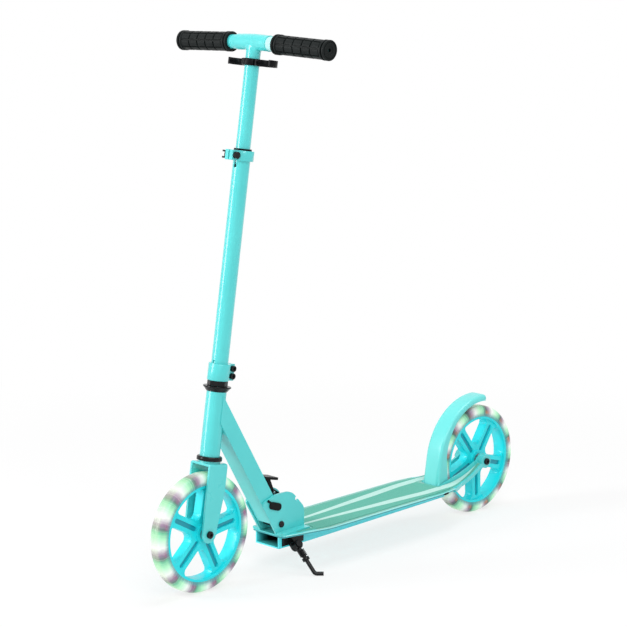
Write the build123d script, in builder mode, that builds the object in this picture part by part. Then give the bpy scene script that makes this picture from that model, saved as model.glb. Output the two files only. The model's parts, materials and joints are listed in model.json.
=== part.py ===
from build123d import *
from math import cos, pi, radians, sin, sqrt, tan
import os

os.makedirs("parts", exist_ok=True)

# Folding kick scooter with 200 mm light-up wheels, in millimetres.
# +X points forward, +Y to the rider's left and +Z up.
# The origin is on the ground, midway between the two axles.

# Clearances
RUNNING_GAP = 0.05  # radial gap of a shaft that turns or slides in its hole
SEAT_GAP = 0.1  # gap between pieces that are fixed to each other
SIDE_GAP = 0.3  # gap between faces that move past each other

# Wheels
WHEEL_BASE = 682.0
WHEEL_RADIUS = 100.0
TYRE_WIDTH = 29.0
TYRE_DEPTH = 19.5
TREAD_ROUND = 11.0
RIM_WIDTH = 27.0
RIM_DEPTH = 4.2
HUB_RADIUS = 17.0
HUB_WIDTH = 26.0
SPOKE_COUNT = 5
SPOKE_WIDTH = 23.0
SPOKE_THICKNESS = 18.0
WINDOW_INNER_ROUND = 11.0
WINDOW_OUTER_ROUND = 9.0
GROOVE_WIDTH = 8.0
GROOVE_DEPTH = 3.5
GROOVE_END_GAP = 6.0
FRONT_SPOKE_ANGLE = 29.0
REAR_SPOKE_ANGLE = 52.0
BEARING_RADIUS = 11.0
BEARING_WIDTH = 7.0
LIGHT_COUNT = 12
LIGHT_WIDTH = 7.0
LIGHT_HEIGHT = 8.0

# Axles
AXLE_RADIUS = 4.0
SPACER_RADIUS = 6.5
AXLE_HEAD_RADIUS = 6.1
AXLE_HEAD_HEIGHT = 4.0
AXLE_HEAD_ROUND = 1.2
AXLE_NUT_RADIUS = 7.5
AXLE_NUT_HEIGHT = 5.0
SOCKET_RADIUS = 2.8
SOCKET_DEPTH = 2.2

# Steering axis: it leans back and meets the ground ahead of the front axle
STEER_LEAN = 8.8
STEER_TRAIL = 12.0

# Fork, bent from flat plate
FORK_TYRE_GAP = 11.9
FORK_SIDE_GAP = 4.8
FORK_PLATE = 4.0
FORK_BEND = 2.8
FORK_DEPTH = 39.4
FORK_STRAIGHT = 45.0
FORK_FORWARD = -1.0
FORK_END_RADIUS = 14.3

# Headset and head tube
STEERER_WALL = 2.5
STEERER_LENGTH = 196.4
RACE_RADIUS = 18.0
RACE_HEIGHT = 3.1
LOWER_CUP_RADIUS = 21.0
LOWER_CUP_HEIGHT = 7.0
CUP_CHAMFER = 1.6
HEAD_TUBE_GAP = 2.0
HEAD_TUBE_WALL = 2.5
HEAD_TUBE_LENGTH = 106.5
UPPER_CUP_RADIUS = 17.0
UPPER_CUP_TAPER = 38.0
UPPER_CUP_CONE = 6.5
UPPER_FLANGE_RADIUS = 23.0
UPPER_FLANGE_HEIGHT = 2.5
HEADSET_BEARING_WALL = 2.4
NUT_RADIUS = 17.0
NUT_SIDES = 8
NUT_HEIGHT = 8.0

# Stem
STEM_WALL = 1.95
STEM_LENGTH = 375.0
STEM_SLIT = 2.6
UPPER_SLIT_LENGTH = 25.0
UPPER_SLIT_HOLE = 3.2
LOWER_SLIT_LENGTH = 32.0
LOWER_SLIT_HOLE = 2.2
UPPER_TUBE_RADIUS = 12.0
UPPER_TUBE_WALL = 1.8
UPPER_TUBE_LENGTH = 333.0
BUSH_LIP = 0.6
BUSH_HEIGHT = 3.0

# Two-bolt collar at the foot of the stem, with its ears at the back
COLLAR_WALL = 3.9
COLLAR_HEIGHT = 27.5
COLLAR_LIFT = 1.0
COLLAR_EAR = 9.0
COLLAR_EAR_HALF = 8.0
COLLAR_SLOT = 2.4
COLLAR_BOLT_OUT = 3.6
COLLAR_BOLT_SPACING = 12.5
COLLAR_BOLT_RADIUS = 2.5
COLLAR_HEAD_RADIUS = 5.0
COLLAR_HEAD_HEIGHT = 5.0

# Quick-release collar at the top of the stem, with its ears at the front
CLAMP_WALL = 4.9
CLAMP_HEIGHT = 16.5
CLAMP_EAR = 11.0
CLAMP_EAR_HALF = 8.5
CLAMP_SLOT = 2.8
CLAMP_BOLT_OUT = 4.5
CLAMP_BOLT_RADIUS = 3.0
CLAMP_KNOB_RADIUS = 5.6
CLAMP_KNOB_HEIGHT = 6.0
LEVER_CAM_RADIUS = 5.5
LEVER_HEIGHT = 13.0
LEVER_THICKNESS = 4.0
LEVER_PIN_RADIUS = 2.0
LEVER_SLOT_GAP = 0.6
LEVER_REACH = 36.0
LEVER_BEND_X = 14.0
LEVER_BEND = 12.0
LEVER_CLEARANCE = 2.5

# Handlebar
BAR_RISE = 175.0
BAR_DROOP = 1.75
SLEEVE_RADIUS = 13.0
SLEEVE_HALF_LENGTH = 35.5
SLEEVE_WALL = 1.4
GRIP_TUBE_WALL = 2.0
GRIP_TUBE_INNER_END = 3.0
GRIP_RADIUS = 16.5
GRIP_START = 52.0
GRIP_LENGTH = 118.0
GRIP_END_WALL = 5.0
GRIP_WAIST = 0.9
GRIP_FLANGE_WIDTH = 4.0
GRIP_FLANGE_GAP = 2.2
GRIP_VENT_RADIUS = 3.0
HOLDER_DROP = 32.6
HOLDER_HEIGHT = 11.0
HOLDER_RING_WALL = 4.0
HOLDER_CLIP_OFFSET = 31.2
HOLDER_CLIP_RADIUS = 19.0
HOLDER_CLIP_WALL = 3.0
HOLDER_CLIP_MOUTH = 8.0
HOLDER_BRIDGE = 10.0

# Deck; its top rises towards the rear, and its ends keep a gap from the wheels
DECK_HEIGHT = 70.4
DECK_RISE = 0.75
DECK_PLATE = 4.0
DECK_FRONT_GAP = 53.0
DECK_REAR_GAP = 9.0
DECK_HALF_WIDTH = 59.0
DECK_FRONT_HALF = 37.0
DECK_REAR_HALF = 54.0
DECK_FRONT_TAPER = 93.0
DECK_REAR_TAPER = 37.0
DECK_CORNER_ROUND = 8.0
DECK_TAPER_ROUND = 60.0
TAPE_THICKNESS = 0.8
TAPE_MARGIN = 7.5
BEAM_HALF_WIDTH = 27.8
BEAM_WALL = 2.5
BEAM_BOTTOM = 44.0
BEAM_REAR_BOTTOM = 53.0
BEAM_TAPER = 350.0

# Rear arms
ARM_SIDE_GAP = 1.2
ARM_WIDTH = 13.0
ARM_THICKNESS = 7.5
ARM_LUG_RADIUS = 12.5
ARM_RISE = 1.5
ARM_WAIST = 32.0
ARM_WAIST_OUTER = 41.5

# Folding joint; the side plates are measured forward of the pivot and up from it
PIVOT_SETBACK = 11.5
PIVOT_LIFT = 13.6
PIVOT_RADIUS = 4.0
PIVOT_HEAD_RADIUS = 5.5
PIVOT_HEAD_HEIGHT = 3.5
PIVOT_HEAD_ROUND = 2.0
PIVOT_NUT_RADIUS = 7.5
PIVOT_NUT_HEIGHT = 5.0
PIVOT_BUSH_RADIUS = 7.0
FOLD_PLATE = 3.5
FOLD_REAR = -55.0
FOLD_FRONT = 10.5
FOLD_TOP_HEIGHT = 53.5
FOLD_TOP_FRONT = 13.5
FOLD_TOP_REAR = -24.5
FOLD_TOP_ROUND = 30.0
FOLD_SHOULDER_HEIGHT = 20.0
FOLD_SHOULDER_ROUND = 18.0
FOLD_NOSE_FRONT = 45.5
FOLD_NOSE_HEIGHT = 43.0
FOLD_NOSE_ROUND = 8.0
FOLD_FLANGE = 14.5
FOLD_NOTCH_FRONT = -37.5
FOLD_NOTCH_HEIGHT = 38.0
FOLD_NOTCH_RADIUS = 4.0
LOCK_FRONT = 14.2
LOCK_HEIGHT = 34.0
LOCK_LENGTH = 28.0
LOCK_WIDTH = 13.0
LOCK_THICKNESS = 2.5
LOCK_ANGLE = 18.0
LOCK_TAIL_FRONT = 31.5
LOCK_TAIL_HEIGHT = 46.5
LOCK_TAIL_WIDTH = 4.0

# Down tube
DOWN_TUBE_DROP = 27.9
DOWN_TUBE_WIDTH = 35.0
DOWN_TUBE_DEPTH = 29.0
DOWN_TUBE_WALL = 2.0
DOWN_TUBE_OPEN = 12.0
FOLD_SIDE_GAP = 0.5

# Latch; its pin is behind the down tube and up it from the pivot, and the rest is measured from the pin
LATCH_STANDOFF = 7.5
LATCH_UP = 50.0
LATCH_BOSS_RADIUS = 5.0
LATCH_HALF_WIDTH = 9.0
LATCH_PIN_RADIUS = 2.5
LATCH_EAR = 3.0
LATCH_BASE = 1.5
LATCH_BASE_LENGTH = 16.0
PEDAL_HALF_WIDTH = 13.0
PEDAL_THICKNESS = 4.5
LATCH_ARM_WIDTH = 7.0
PEDAL_ROOT = (2.5, 35.0)
PEDAL_TIP = (-18.6, 15.1)
LATCH_NECK = (-4.0, 28.0)
HOOK_BACK = (-4.0, 5.0)
HOOK_TIP = (-13.0, -14.0)
HOOK_FRONT = (-4.0, -10.0)

# Kickstand
KICK_SETBACK = 32.0
KICK_OUT = 11.8
KICK_LIFT = 3.0
KICK_HEEL_BACK = 6.5
KICK_HEEL_OUT = 35.9
KICK_TOE_BACK = 10.5
KICK_TOE_OUT = 10.0
KICK_ROD_RADIUS = 3.5
KICK_BEND = 7.0
KICK_HUB_RADIUS = 8.0
KICK_HUB_HALF = 5.0
KICK_PIN_RADIUS = 4.0
KICK_PIN_HEAD_RADIUS = 6.5
KICK_PIN_HEAD = 2.5
KICK_TAB = 4.0
KICK_TAB_LENGTH = 16.0
KICK_BRACKET_THICKNESS = 2.4
KICK_BRACKET_LENGTH = 50.0
KICK_BRACKET_LIFT = 3.5
KICK_BRACKET_HEIGHT = 13.5
KICK_SPRING_START = 9.6
KICK_SPRING_WIRE = 1.1
KICK_SPRING_TURNS = 5.0
KICK_SPRING_PITCH = 2.6
KICK_SPRING_LIFT = 0.8
KICK_COLLAR_RADIUS = 6.4
KICK_COLLAR_LENGTH = 6.0

# Fender brake: a straight front that leans back, then an arc set a little behind and above the rear axle
FENDER_TYRE_GAP = 17.0
FENDER_SIDE_GAP = 2.0
FENDER_BACK = 8.0
FENDER_UP = 1.0
FENDER_WEB = 3.0
FENDER_WALL = 2.3
FENDER_LEAN = 8.8
FENDER_TAIL_ANGLE = 95.5
FENDER_TAIL_ROUND = 9.0
FENDER_ROUND = 6.5
FENDER_FOOT_DROP = 2.0
FENDER_FOOT_LENGTH = 28.0
FENDER_TAIL_DEPTH = 11.0
SKIRT_UP = 15.0
SKIRT_INSET = 6.3
FENDER_PIN_INSET = 6.0
FENDER_PIN_DROP = 9.9
FENDER_PIN_RADIUS = 2.5
FENDER_PIN_HEAD_RADIUS = 5.4
FENDER_PIN_HEAD = 6.0
FENDER_LUG_RADIUS = 5.3
FENDER_SLOT_GAP = 0.9
FENDER_FRONT_GAP = 1.5
BRAKE_TRAVEL = 4.5
PAD_TYRE_GAP = 0.3
PAD_HALF_WIDTH = 12.0
PAD_START_ANGLE = 64.0
PAD_END_ANGLE = 90.0
BRAKE_SPRING_WIRE = 0.7
BRAKE_SPRING_TURNS = 6.0
BRAKE_SPRING_PITCH = 2.4
BRAKE_SPRING_LIFT = 0.6

# Places worked out from the sizes above
front_axle_x = WHEEL_BASE / 2
rear_axle_x = -WHEEL_BASE / 2
rim_radius = WHEEL_RADIUS - TYRE_DEPTH
rim_inner_radius = rim_radius - RIM_DEPTH
fork_inner = TYRE_WIDTH / 2 + FORK_SIDE_GAP
fork_outer = fork_inner + FORK_PLATE
fork_middle = fork_inner + FORK_PLATE / 2
fender_half_width = TYRE_WIDTH / 2 + FENDER_SIDE_GAP + FENDER_WALL
fender_radius = WHEEL_RADIUS + FENDER_TYRE_GAP + FENDER_WEB
arm_inner = fender_half_width + ARM_SIDE_GAP
arm_outer = arm_inner + ARM_WIDTH
groove_length = rim_inner_radius - BEARING_RADIUS - 2 * GROOVE_END_GAP
groove_middle = (rim_inner_radius + BEARING_RADIUS) / 2

lean = radians(STEER_LEAN)
steer_forward = Vector(cos(lean), 0, sin(lean))
steer_up = Vector(-sin(lean), 0, cos(lean))
steer_foot = Vector(front_axle_x + STEER_TRAIL, 0, 0)
# Across the stem, with local Z along it; seen from the left; and seen from the front
steer = Plane(origin=steer_foot, x_dir=steer_forward, z_dir=steer_up)
steer_side = Plane(origin=steer_foot, x_dir=steer_forward, z_dir=(0, -1, 0))
steer_front = Plane(origin=steer_foot, x_dir=(0, 1, 0), z_dir=steer_forward)
axle_on_steer = steer_side.to_local_coords(Vector(front_axle_x, 0, WHEEL_RADIUS))
axle_spot = (axle_on_steer.X, axle_on_steer.Y)

# Along the stem, from the ground up
fork_crown = axle_on_steer.Y + WHEEL_RADIUS + FORK_TYRE_GAP + FORK_PLATE
race_top = fork_crown + RACE_HEIGHT
lower_cup_bottom = race_top + SIDE_GAP
head_bottom = lower_cup_bottom + LOWER_CUP_HEIGHT
head_top = head_bottom + HEAD_TUBE_LENGTH
upper_cup_top = head_top + UPPER_CUP_CONE + UPPER_FLANGE_HEIGHT
nut_bottom = upper_cup_top + SIDE_GAP
nut_top = nut_bottom + NUT_HEIGHT
stem_bottom = nut_top + SEAT_GAP
stem_top = stem_bottom + STEM_LENGTH
collar_bottom = stem_bottom + COLLAR_LIFT
clamp_middle = stem_top - CLAMP_HEIGHT / 2
bar_station = stem_top + BAR_RISE

# Across the stem: the steerer and the upper tube fit the same bore
stem_bore_radius = UPPER_TUBE_RADIUS + RUNNING_GAP
stem_radius = stem_bore_radius + STEM_WALL
steerer_radius = stem_bore_radius - RUNNING_GAP
head_tube_radius = steerer_radius + HEAD_TUBE_GAP + HEAD_TUBE_WALL
cup_bore_radius = steerer_radius + RUNNING_GAP + HEADSET_BEARING_WALL + SEAT_GAP
collar_radius = stem_radius + SEAT_GAP + COLLAR_WALL
collar_ear_reach = collar_radius + COLLAR_EAR
collar_bolt_x = -collar_radius - COLLAR_BOLT_OUT
clamp_radius = stem_radius + SEAT_GAP + CLAMP_WALL
clamp_ear_reach = clamp_radius + CLAMP_EAR
clamp_bolt_x = clamp_radius + CLAMP_BOLT_OUT
lever_offset = CLAMP_EAR_HALF + LEVER_CAM_RADIUS + SIDE_GAP
lever_line = clamp_radius + LEVER_CLEARANCE + LEVER_THICKNESS / 2
grip_tube_radius = SLEEVE_RADIUS - SLEEVE_WALL - RUNNING_GAP
grip_end = GRIP_START + GRIP_LENGTH

# Each half of the bar slopes down from the stem
droop = radians(BAR_DROOP)
bar_centre = steer_foot + steer_up * bar_station
left_way = Vector(0, cos(droop), 0) - steer_up * sin(droop)
right_way = Vector(0, -cos(droop), 0) - steer_up * sin(droop)
bar_left = Plane(origin=bar_centre, x_dir=steer_forward, z_dir=left_way)
bar_right = Plane(origin=bar_centre, x_dir=steer_forward, z_dir=right_way)

rise = radians(DECK_RISE)
deck = Plane(
    origin=(0, 0, DECK_HEIGHT),
    x_dir=(cos(rise), 0, -sin(rise)),
    z_dir=(sin(rise), 0, cos(rise)),
)
deck_front_x = front_axle_x - WHEEL_RADIUS - DECK_FRONT_GAP
deck_rear_x = rear_axle_x + WHEEL_RADIUS + DECK_REAR_GAP
deck_front_taper_x = deck_front_x - DECK_FRONT_TAPER
deck_rear_taper_x = deck_rear_x + DECK_REAR_TAPER
beam_taper_x = deck_rear_x + BEAM_TAPER
fender_slot_half = fender_half_width + FENDER_SLOT_GAP

pivot_x = deck_front_x - PIVOT_SETBACK
pivot_z = DECK_HEIGHT + PIVOT_LIFT
pivot = Vector(pivot_x, 0, pivot_z)
fold_rear_x = pivot_x + FOLD_REAR
fold_front_x = pivot_x + FOLD_FRONT
lock_spot = (pivot_x + LOCK_FRONT, pivot_z + LOCK_HEIGHT)
lock_tail_spot = (pivot_x + LOCK_TAIL_FRONT, pivot_z + LOCK_TAIL_HEIGHT)
fold_inner = DOWN_TUBE_WIDTH / 2 + FOLD_SIDE_GAP
fold_outer = fold_inner + FOLD_PLATE

# The down tube runs from the pivot to a place below the top of the head tube
down_tube_line = steer_foot + steer_up * (head_top - DOWN_TUBE_DROP) - pivot
down_tube_length = down_tube_line.length
tube_up = down_tube_line.normalized()
tube_forward = Vector(tube_up.Z, 0, -tube_up.X)
# The down tube seen from the left, with local Y up along the tube
tube_side = Plane(origin=pivot, x_dir=tube_forward, z_dir=(0, -1, 0))
latch_spot = (-DOWN_TUBE_DEPTH / 2 - LATCH_STANDOFF, LATCH_UP)
latch_side = Plane(
    origin=tube_side.from_local_coords(Vector(*latch_spot, 0)),
    x_dir=tube_forward,
    z_dir=(0, -1, 0),
)

kick_pivot = Vector(deck_front_x - KICK_SETBACK, BEAM_HALF_WIDTH + KICK_OUT, BEAM_BOTTOM + KICK_LIFT)
kick_heel = Vector(kick_pivot.X - KICK_HEEL_BACK, kick_pivot.Y + KICK_HEEL_OUT, KICK_ROD_RADIUS)
kick_toe = kick_heel + Vector(-KICK_TOE_BACK, KICK_TOE_OUT, 0)
kick_down = (kick_heel - kick_pivot).normalized()
kick_axis = kick_down.cross(Vector(-1, 0, 0)).normalized()
# Across the kickstand's pin, with local Y pointing out and down
kick = Plane(origin=kick_pivot, x_dir=(1, 0, 0), z_dir=kick_axis)


def deck_top(x):
    """Height of the deck plate's top at a place along the deck."""
    return DECK_HEIGHT - x * tan(rise)


def deck_under(x):
    """Height of the deck plate's underside at a place along the deck."""
    return deck_top(x) - DECK_PLATE / cos(rise)


def wheel_side(axle_x):
    """A wheel seen from the left, centred on its axle."""
    return Plane(origin=(axle_x, 0, WHEEL_RADIUS), x_dir=(1, 0, 0), z_dir=(0, -1, 0))


def left_of(plane, distance):
    """A side plane moved to the rider's left, towards +Y."""
    return plane.offset(-distance)


def keep(piece, name):
    """Name a finished piece and write it."""
    piece.part.label = name
    export_step(piece.part, f"parts/{name}.step")


def biarc_joint(start, start_dir, end, end_dir):
    """The point where two equal tangent arcs from start to end meet."""
    span = end - start
    both = start_dir + end_dir
    spread = 2 * (1 - start_dir.dot(end_dir))
    reach = span.dot(both)
    handle = (-reach + sqrt(reach**2 + spread * span.dot(span))) / spread
    return (start + start_dir * handle + end - end_dir * handle) / 2


def coil_spring(plane, name, mean_radius, wire_radius, pitch, turns):
    """A coil of round wire along a plane's normal, as quarter-turn pairs of arcs."""
    quarters = round(turns * 4)
    points = []
    directions = []
    for step in range(quarters + 1):
        angle = step * pi / 2
        spot = (mean_radius * cos(angle), mean_radius * sin(angle), pitch * step / 4)
        step_along = (-mean_radius * sin(angle), mean_radius * cos(angle), pitch / (2 * pi))
        tip = Vector(*spot) + Vector(*step_along)
        points.append(plane.from_local_coords(Vector(*spot)))
        directions.append((plane.from_local_coords(tip) - points[-1]).normalized())
    with BuildPart() as spring:
        with BuildLine() as path:
            for step in range(quarters):
                joint = biarc_joint(points[step], directions[step], points[step + 1], directions[step + 1])
                first = TangentArc(points[step], joint, tangent=directions[step])
                TangentArc(joint, points[step + 1], tangent=first % 1)
        with BuildSketch(Plane(origin=points[0], z_dir=directions[0])):
            Circle(wire_radius)
        sweep(path=path.wire())
    samples_per_turn = 24
    count = round(turns * samples_per_turn)
    wire = path.wire()
    samples = [wire @ (index / count) for index in range(count + 1)]
    gap = min(
        (samples[later] - samples[index]).length
        for index in range(count)
        for later in range(index + samples_per_turn // 2, count + 1)
    )
    print(f"{name}: least gap between turns {gap - 2 * wire_radius:.2f} mm")
    return spring


# Fender places, seen from the left and measured from the rear axle
rear_side = wheel_side(rear_axle_x)
fender_centre = (-FENDER_BACK, FENDER_UP)
fender_pin_x = deck_rear_x + FENDER_PIN_INSET
fender_pin_z = deck_top(fender_pin_x) - FENDER_PIN_DROP
fender_pin_spot = (fender_pin_x - rear_axle_x, fender_pin_z - WHEEL_RADIUS)
fender_foot = deck_top(deck_rear_x) - FENDER_FOOT_DROP - WHEEL_RADIUS
fender_lean = radians(FENDER_LEAN)
fender_tail = radians(FENDER_TAIL_ANGLE)
front_top_x = fender_centre[0] + fender_radius * cos(fender_lean)
front_top_z = fender_centre[1] + fender_radius * sin(fender_lean)
foot_front_x = front_top_x + (front_top_z - fender_foot) * tan(fender_lean)
foot_rear_x = foot_front_x - FENDER_FOOT_LENGTH
tail_reach = fender_radius - FENDER_TAIL_DEPTH
tail_inner = (
    fender_centre[0] + tail_reach * cos(fender_tail),
    fender_centre[1] + tail_reach * sin(fender_tail),
)
skirt_top = (WHEEL_RADIUS - SKIRT_INSET, SKIRT_UP)
fender_slot_front_x = rear_axle_x + foot_front_x + FENDER_FRONT_GAP
# Where the wheel's centre is, seen from the fender, when the brake is pressed
brake = radians(BRAKE_TRAVEL)
pressed_wheel = (
    fender_pin_spot[0] * (1 - cos(brake)) - fender_pin_spot[1] * sin(brake),
    fender_pin_spot[1] * (1 - cos(brake)) + fender_pin_spot[0] * sin(brake),
)

# Wheels, with their bearings, lights, spacers and axle bolts
for end, axle_x, spoke_angle, seat, outer in (
    ("front", front_axle_x, FRONT_SPOKE_ANGLE, fork_inner, fork_outer),
    ("rear", rear_axle_x, REAR_SPOKE_ANGLE, arm_inner, arm_outer),
):
    side = wheel_side(axle_x)

    with BuildPart() as tyre:
        with BuildSketch(side):
            Circle(WHEEL_RADIUS)
            Circle(rim_radius + SEAT_GAP, mode=Mode.SUBTRACT)
        extrude(amount=TYRE_WIDTH / 2, both=True)
        tread = tyre.edges().filter_by(GeomType.CIRCLE).group_by(SortBy.RADIUS)[-1]
        fillet(tread, TREAD_ROUND)
        with BuildSketch(side):
            with PolarLocations(rim_radius - SEAT_GAP, LIGHT_COUNT, spoke_angle):
                Rectangle(
                    LIGHT_HEIGHT + 3 * SEAT_GAP,
                    LIGHT_WIDTH + 2 * SEAT_GAP,
                    align=(Align.MIN, Align.CENTER),
                )
        extrude(amount=LIGHT_WIDTH / 2 + SEAT_GAP, both=True, mode=Mode.SUBTRACT)
    keep(tyre, f"{end}_tyre")

    with BuildPart() as lights:
        with BuildSketch(side):
            with PolarLocations(rim_radius + SEAT_GAP, LIGHT_COUNT, spoke_angle):
                Rectangle(LIGHT_HEIGHT, LIGHT_WIDTH, align=(Align.MIN, Align.CENTER))
        extrude(amount=LIGHT_WIDTH / 2, both=True)
    keep(lights, f"{end}_lights")

    with BuildSketch(side) as windows:
        Circle(rim_inner_radius)
        with PolarLocations(0, SPOKE_COUNT, spoke_angle):
            Rectangle(
                2 * rim_inner_radius,
                SPOKE_WIDTH,
                align=(Align.MIN, Align.CENTER),
                mode=Mode.SUBTRACT,
            )
        fillet(windows.vertices().sort_by_distance((0, 0, 0))[:SPOKE_COUNT], WINDOW_INNER_ROUND)
        fillet(windows.vertices().sort_by_distance((0, 0, 0))[-2 * SPOKE_COUNT :], WINDOW_OUTER_ROUND)

    with BuildPart() as hub:
        with BuildSketch(side):
            Circle(rim_radius)
            Circle(rim_inner_radius, mode=Mode.SUBTRACT)
        extrude(amount=RIM_WIDTH / 2, both=True)
        with BuildSketch(side):
            Circle((rim_inner_radius + rim_radius) / 2)
            add(windows.sketch_local, mode=Mode.SUBTRACT)
        extrude(amount=SPOKE_THICKNESS / 2, both=True)
        with BuildSketch(side):
            Circle(HUB_RADIUS)
        extrude(amount=HUB_WIDTH / 2, both=True)
        with BuildSketch(side):
            Circle(BEARING_RADIUS + SEAT_GAP)
        extrude(amount=HUB_WIDTH, both=True, mode=Mode.SUBTRACT)
        for face in (-SPOKE_THICKNESS / 2, SPOKE_THICKNESS / 2):
            with BuildSketch(left_of(side, face)):
                with PolarLocations(groove_middle, SPOKE_COUNT, spoke_angle):
                    SlotOverall(groove_length, GROOVE_WIDTH)
            extrude(amount=GROOVE_DEPTH, both=True, mode=Mode.SUBTRACT)
    keep(hub, f"{end}_hub")

    with BuildPart() as bearings:
        with BuildSketch(left_of(side, HUB_WIDTH / 2)):
            Circle(BEARING_RADIUS)
            Circle(AXLE_RADIUS + RUNNING_GAP, mode=Mode.SUBTRACT)
        extrude(amount=BEARING_WIDTH)
        mirror(about=Plane.XZ)
    keep(bearings, f"{end}_bearings")

    with BuildPart() as spacers:
        with BuildSketch(side):
            Circle(SPACER_RADIUS)
            Circle(AXLE_RADIUS + SEAT_GAP, mode=Mode.SUBTRACT)
        extrude(amount=HUB_WIDTH / 2 - BEARING_WIDTH - SIDE_GAP, both=True)
        with BuildSketch(left_of(side, seat - SEAT_GAP)):
            Circle(SPACER_RADIUS)
            Circle(AXLE_RADIUS + SEAT_GAP, mode=Mode.SUBTRACT)
        extrude(amount=seat - SEAT_GAP - HUB_WIDTH / 2 - SIDE_GAP)
        mirror(about=Plane.XZ)
    keep(spacers, f"{end}_spacers")

    with BuildPart() as axle_bolt:
        with BuildSketch(left_of(side, outer)):
            Circle(AXLE_HEAD_RADIUS)
        extrude(amount=-AXLE_HEAD_HEIGHT)
        fillet(axle_bolt.edges().group_by(Axis.Y)[-1], AXLE_HEAD_ROUND)
        with BuildSketch(left_of(side, outer)):
            Circle(AXLE_RADIUS)
        extrude(amount=2 * outer + AXLE_NUT_HEIGHT)
        with BuildSketch(left_of(side, outer + AXLE_HEAD_HEIGHT)):
            RegularPolygon(SOCKET_RADIUS, 6)
        extrude(amount=SOCKET_DEPTH, mode=Mode.SUBTRACT)
    keep(axle_bolt, f"{end}_axle_bolt")

    with BuildPart() as axle_nut:
        with BuildSketch(left_of(side, -outer)):
            RegularPolygon(AXLE_NUT_RADIUS, 6)
            Circle(AXLE_RADIUS + SEAT_GAP, mode=Mode.SUBTRACT)
        extrude(amount=AXLE_NUT_HEIGHT)
    keep(axle_nut, f"{end}_axle_nut")

# Fork, bent from plate and cut to the shape of its legs
with BuildSketch(steer_side) as leg_shape:
    with Locations((FORK_FORWARD, fork_crown + FORK_PLATE)):
        Rectangle(FORK_DEPTH, FORK_STRAIGHT + FORK_PLATE, align=(Align.CENTER, Align.MAX))
    with Locations(axle_spot):
        Circle(FORK_END_RADIUS)
    make_hull()

with BuildPart() as fork:
    with BuildSketch(steer_front):
        with BuildLine():
            FilletPolyline(
                (-fork_middle, 0),
                (-fork_middle, fork_crown - FORK_PLATE / 2),
                (fork_middle, fork_crown - FORK_PLATE / 2),
                (fork_middle, 0),
                radius=FORK_BEND,
            )
        trace(line_width=FORK_PLATE)
    extrude(amount=2 * FORK_DEPTH, both=True)
    extrude(leg_shape.sketch, amount=2 * fork_outer, both=True, mode=Mode.INTERSECT)
    with BuildSketch(steer_side):
        with Locations(axle_spot):
            Circle(AXLE_RADIUS + SEAT_GAP)
    extrude(amount=2 * fork_outer, both=True, mode=Mode.SUBTRACT)
keep(fork, "fork")

with BuildPart() as steerer_tube:
    with BuildSketch(steer.offset(fork_crown)):
        Circle(RACE_RADIUS)
    extrude(amount=RACE_HEIGHT)
    with BuildSketch(steer.offset(fork_crown)):
        Circle(steerer_radius)
    extrude(amount=STEERER_LENGTH)
    with BuildSketch(steer.offset(fork_crown)):
        Circle(steerer_radius - STEERER_WALL)
    extrude(amount=STEERER_LENGTH, mode=Mode.SUBTRACT)
keep(steerer_tube, "steerer_tube")

# Head tube, headset cups, bearings and nut
with BuildPart() as head_tube:
    with BuildSketch(steer.offset(head_bottom)):
        Circle(head_tube_radius)
        Circle(head_tube_radius - HEAD_TUBE_WALL, mode=Mode.SUBTRACT)
    extrude(amount=HEAD_TUBE_LENGTH)
keep(head_tube, "head_tube")

with BuildPart() as lower_cup:
    with BuildSketch(steer.offset(lower_cup_bottom)):
        Circle(LOWER_CUP_RADIUS)
    extrude(amount=LOWER_CUP_HEIGHT)
    chamfer(lower_cup.edges().filter_by(GeomType.CIRCLE).sort_by(Axis.Z)[-1], CUP_CHAMFER)
    with BuildSketch(steer.offset(lower_cup_bottom)):
        Circle(cup_bore_radius)
    extrude(amount=LOWER_CUP_HEIGHT, mode=Mode.SUBTRACT)
keep(lower_cup, "lower_cup")

with BuildPart() as upper_cup:
    with BuildSketch(steer.offset(head_top)):
        Circle(UPPER_CUP_RADIUS)
    extrude(amount=UPPER_CUP_CONE, taper=-UPPER_CUP_TAPER)
    with BuildSketch(steer.offset(head_top + UPPER_CUP_CONE)):
        Circle(UPPER_FLANGE_RADIUS)
    extrude(amount=UPPER_FLANGE_HEIGHT)
    with BuildSketch(steer.offset(head_top)):
        Circle(cup_bore_radius)
    extrude(amount=UPPER_CUP_CONE + UPPER_FLANGE_HEIGHT, mode=Mode.SUBTRACT)
keep(upper_cup, "upper_cup")

with BuildPart() as headset_bearings:
    for bottom, height in ((lower_cup_bottom, LOWER_CUP_HEIGHT), (head_top, UPPER_CUP_CONE)):
        with BuildSketch(steer.offset(bottom)):
            Circle(cup_bore_radius - SEAT_GAP)
            Circle(steerer_radius + RUNNING_GAP, mode=Mode.SUBTRACT)
        extrude(amount=height)
keep(headset_bearings, "headset_bearings")

with BuildPart() as headset_nut:
    with BuildSketch(steer.offset(nut_bottom)):
        RegularPolygon(NUT_RADIUS, NUT_SIDES)
        Circle(steerer_radius + SEAT_GAP, mode=Mode.SUBTRACT)
    extrude(amount=NUT_HEIGHT)
keep(headset_nut, "headset_nut")

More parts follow.
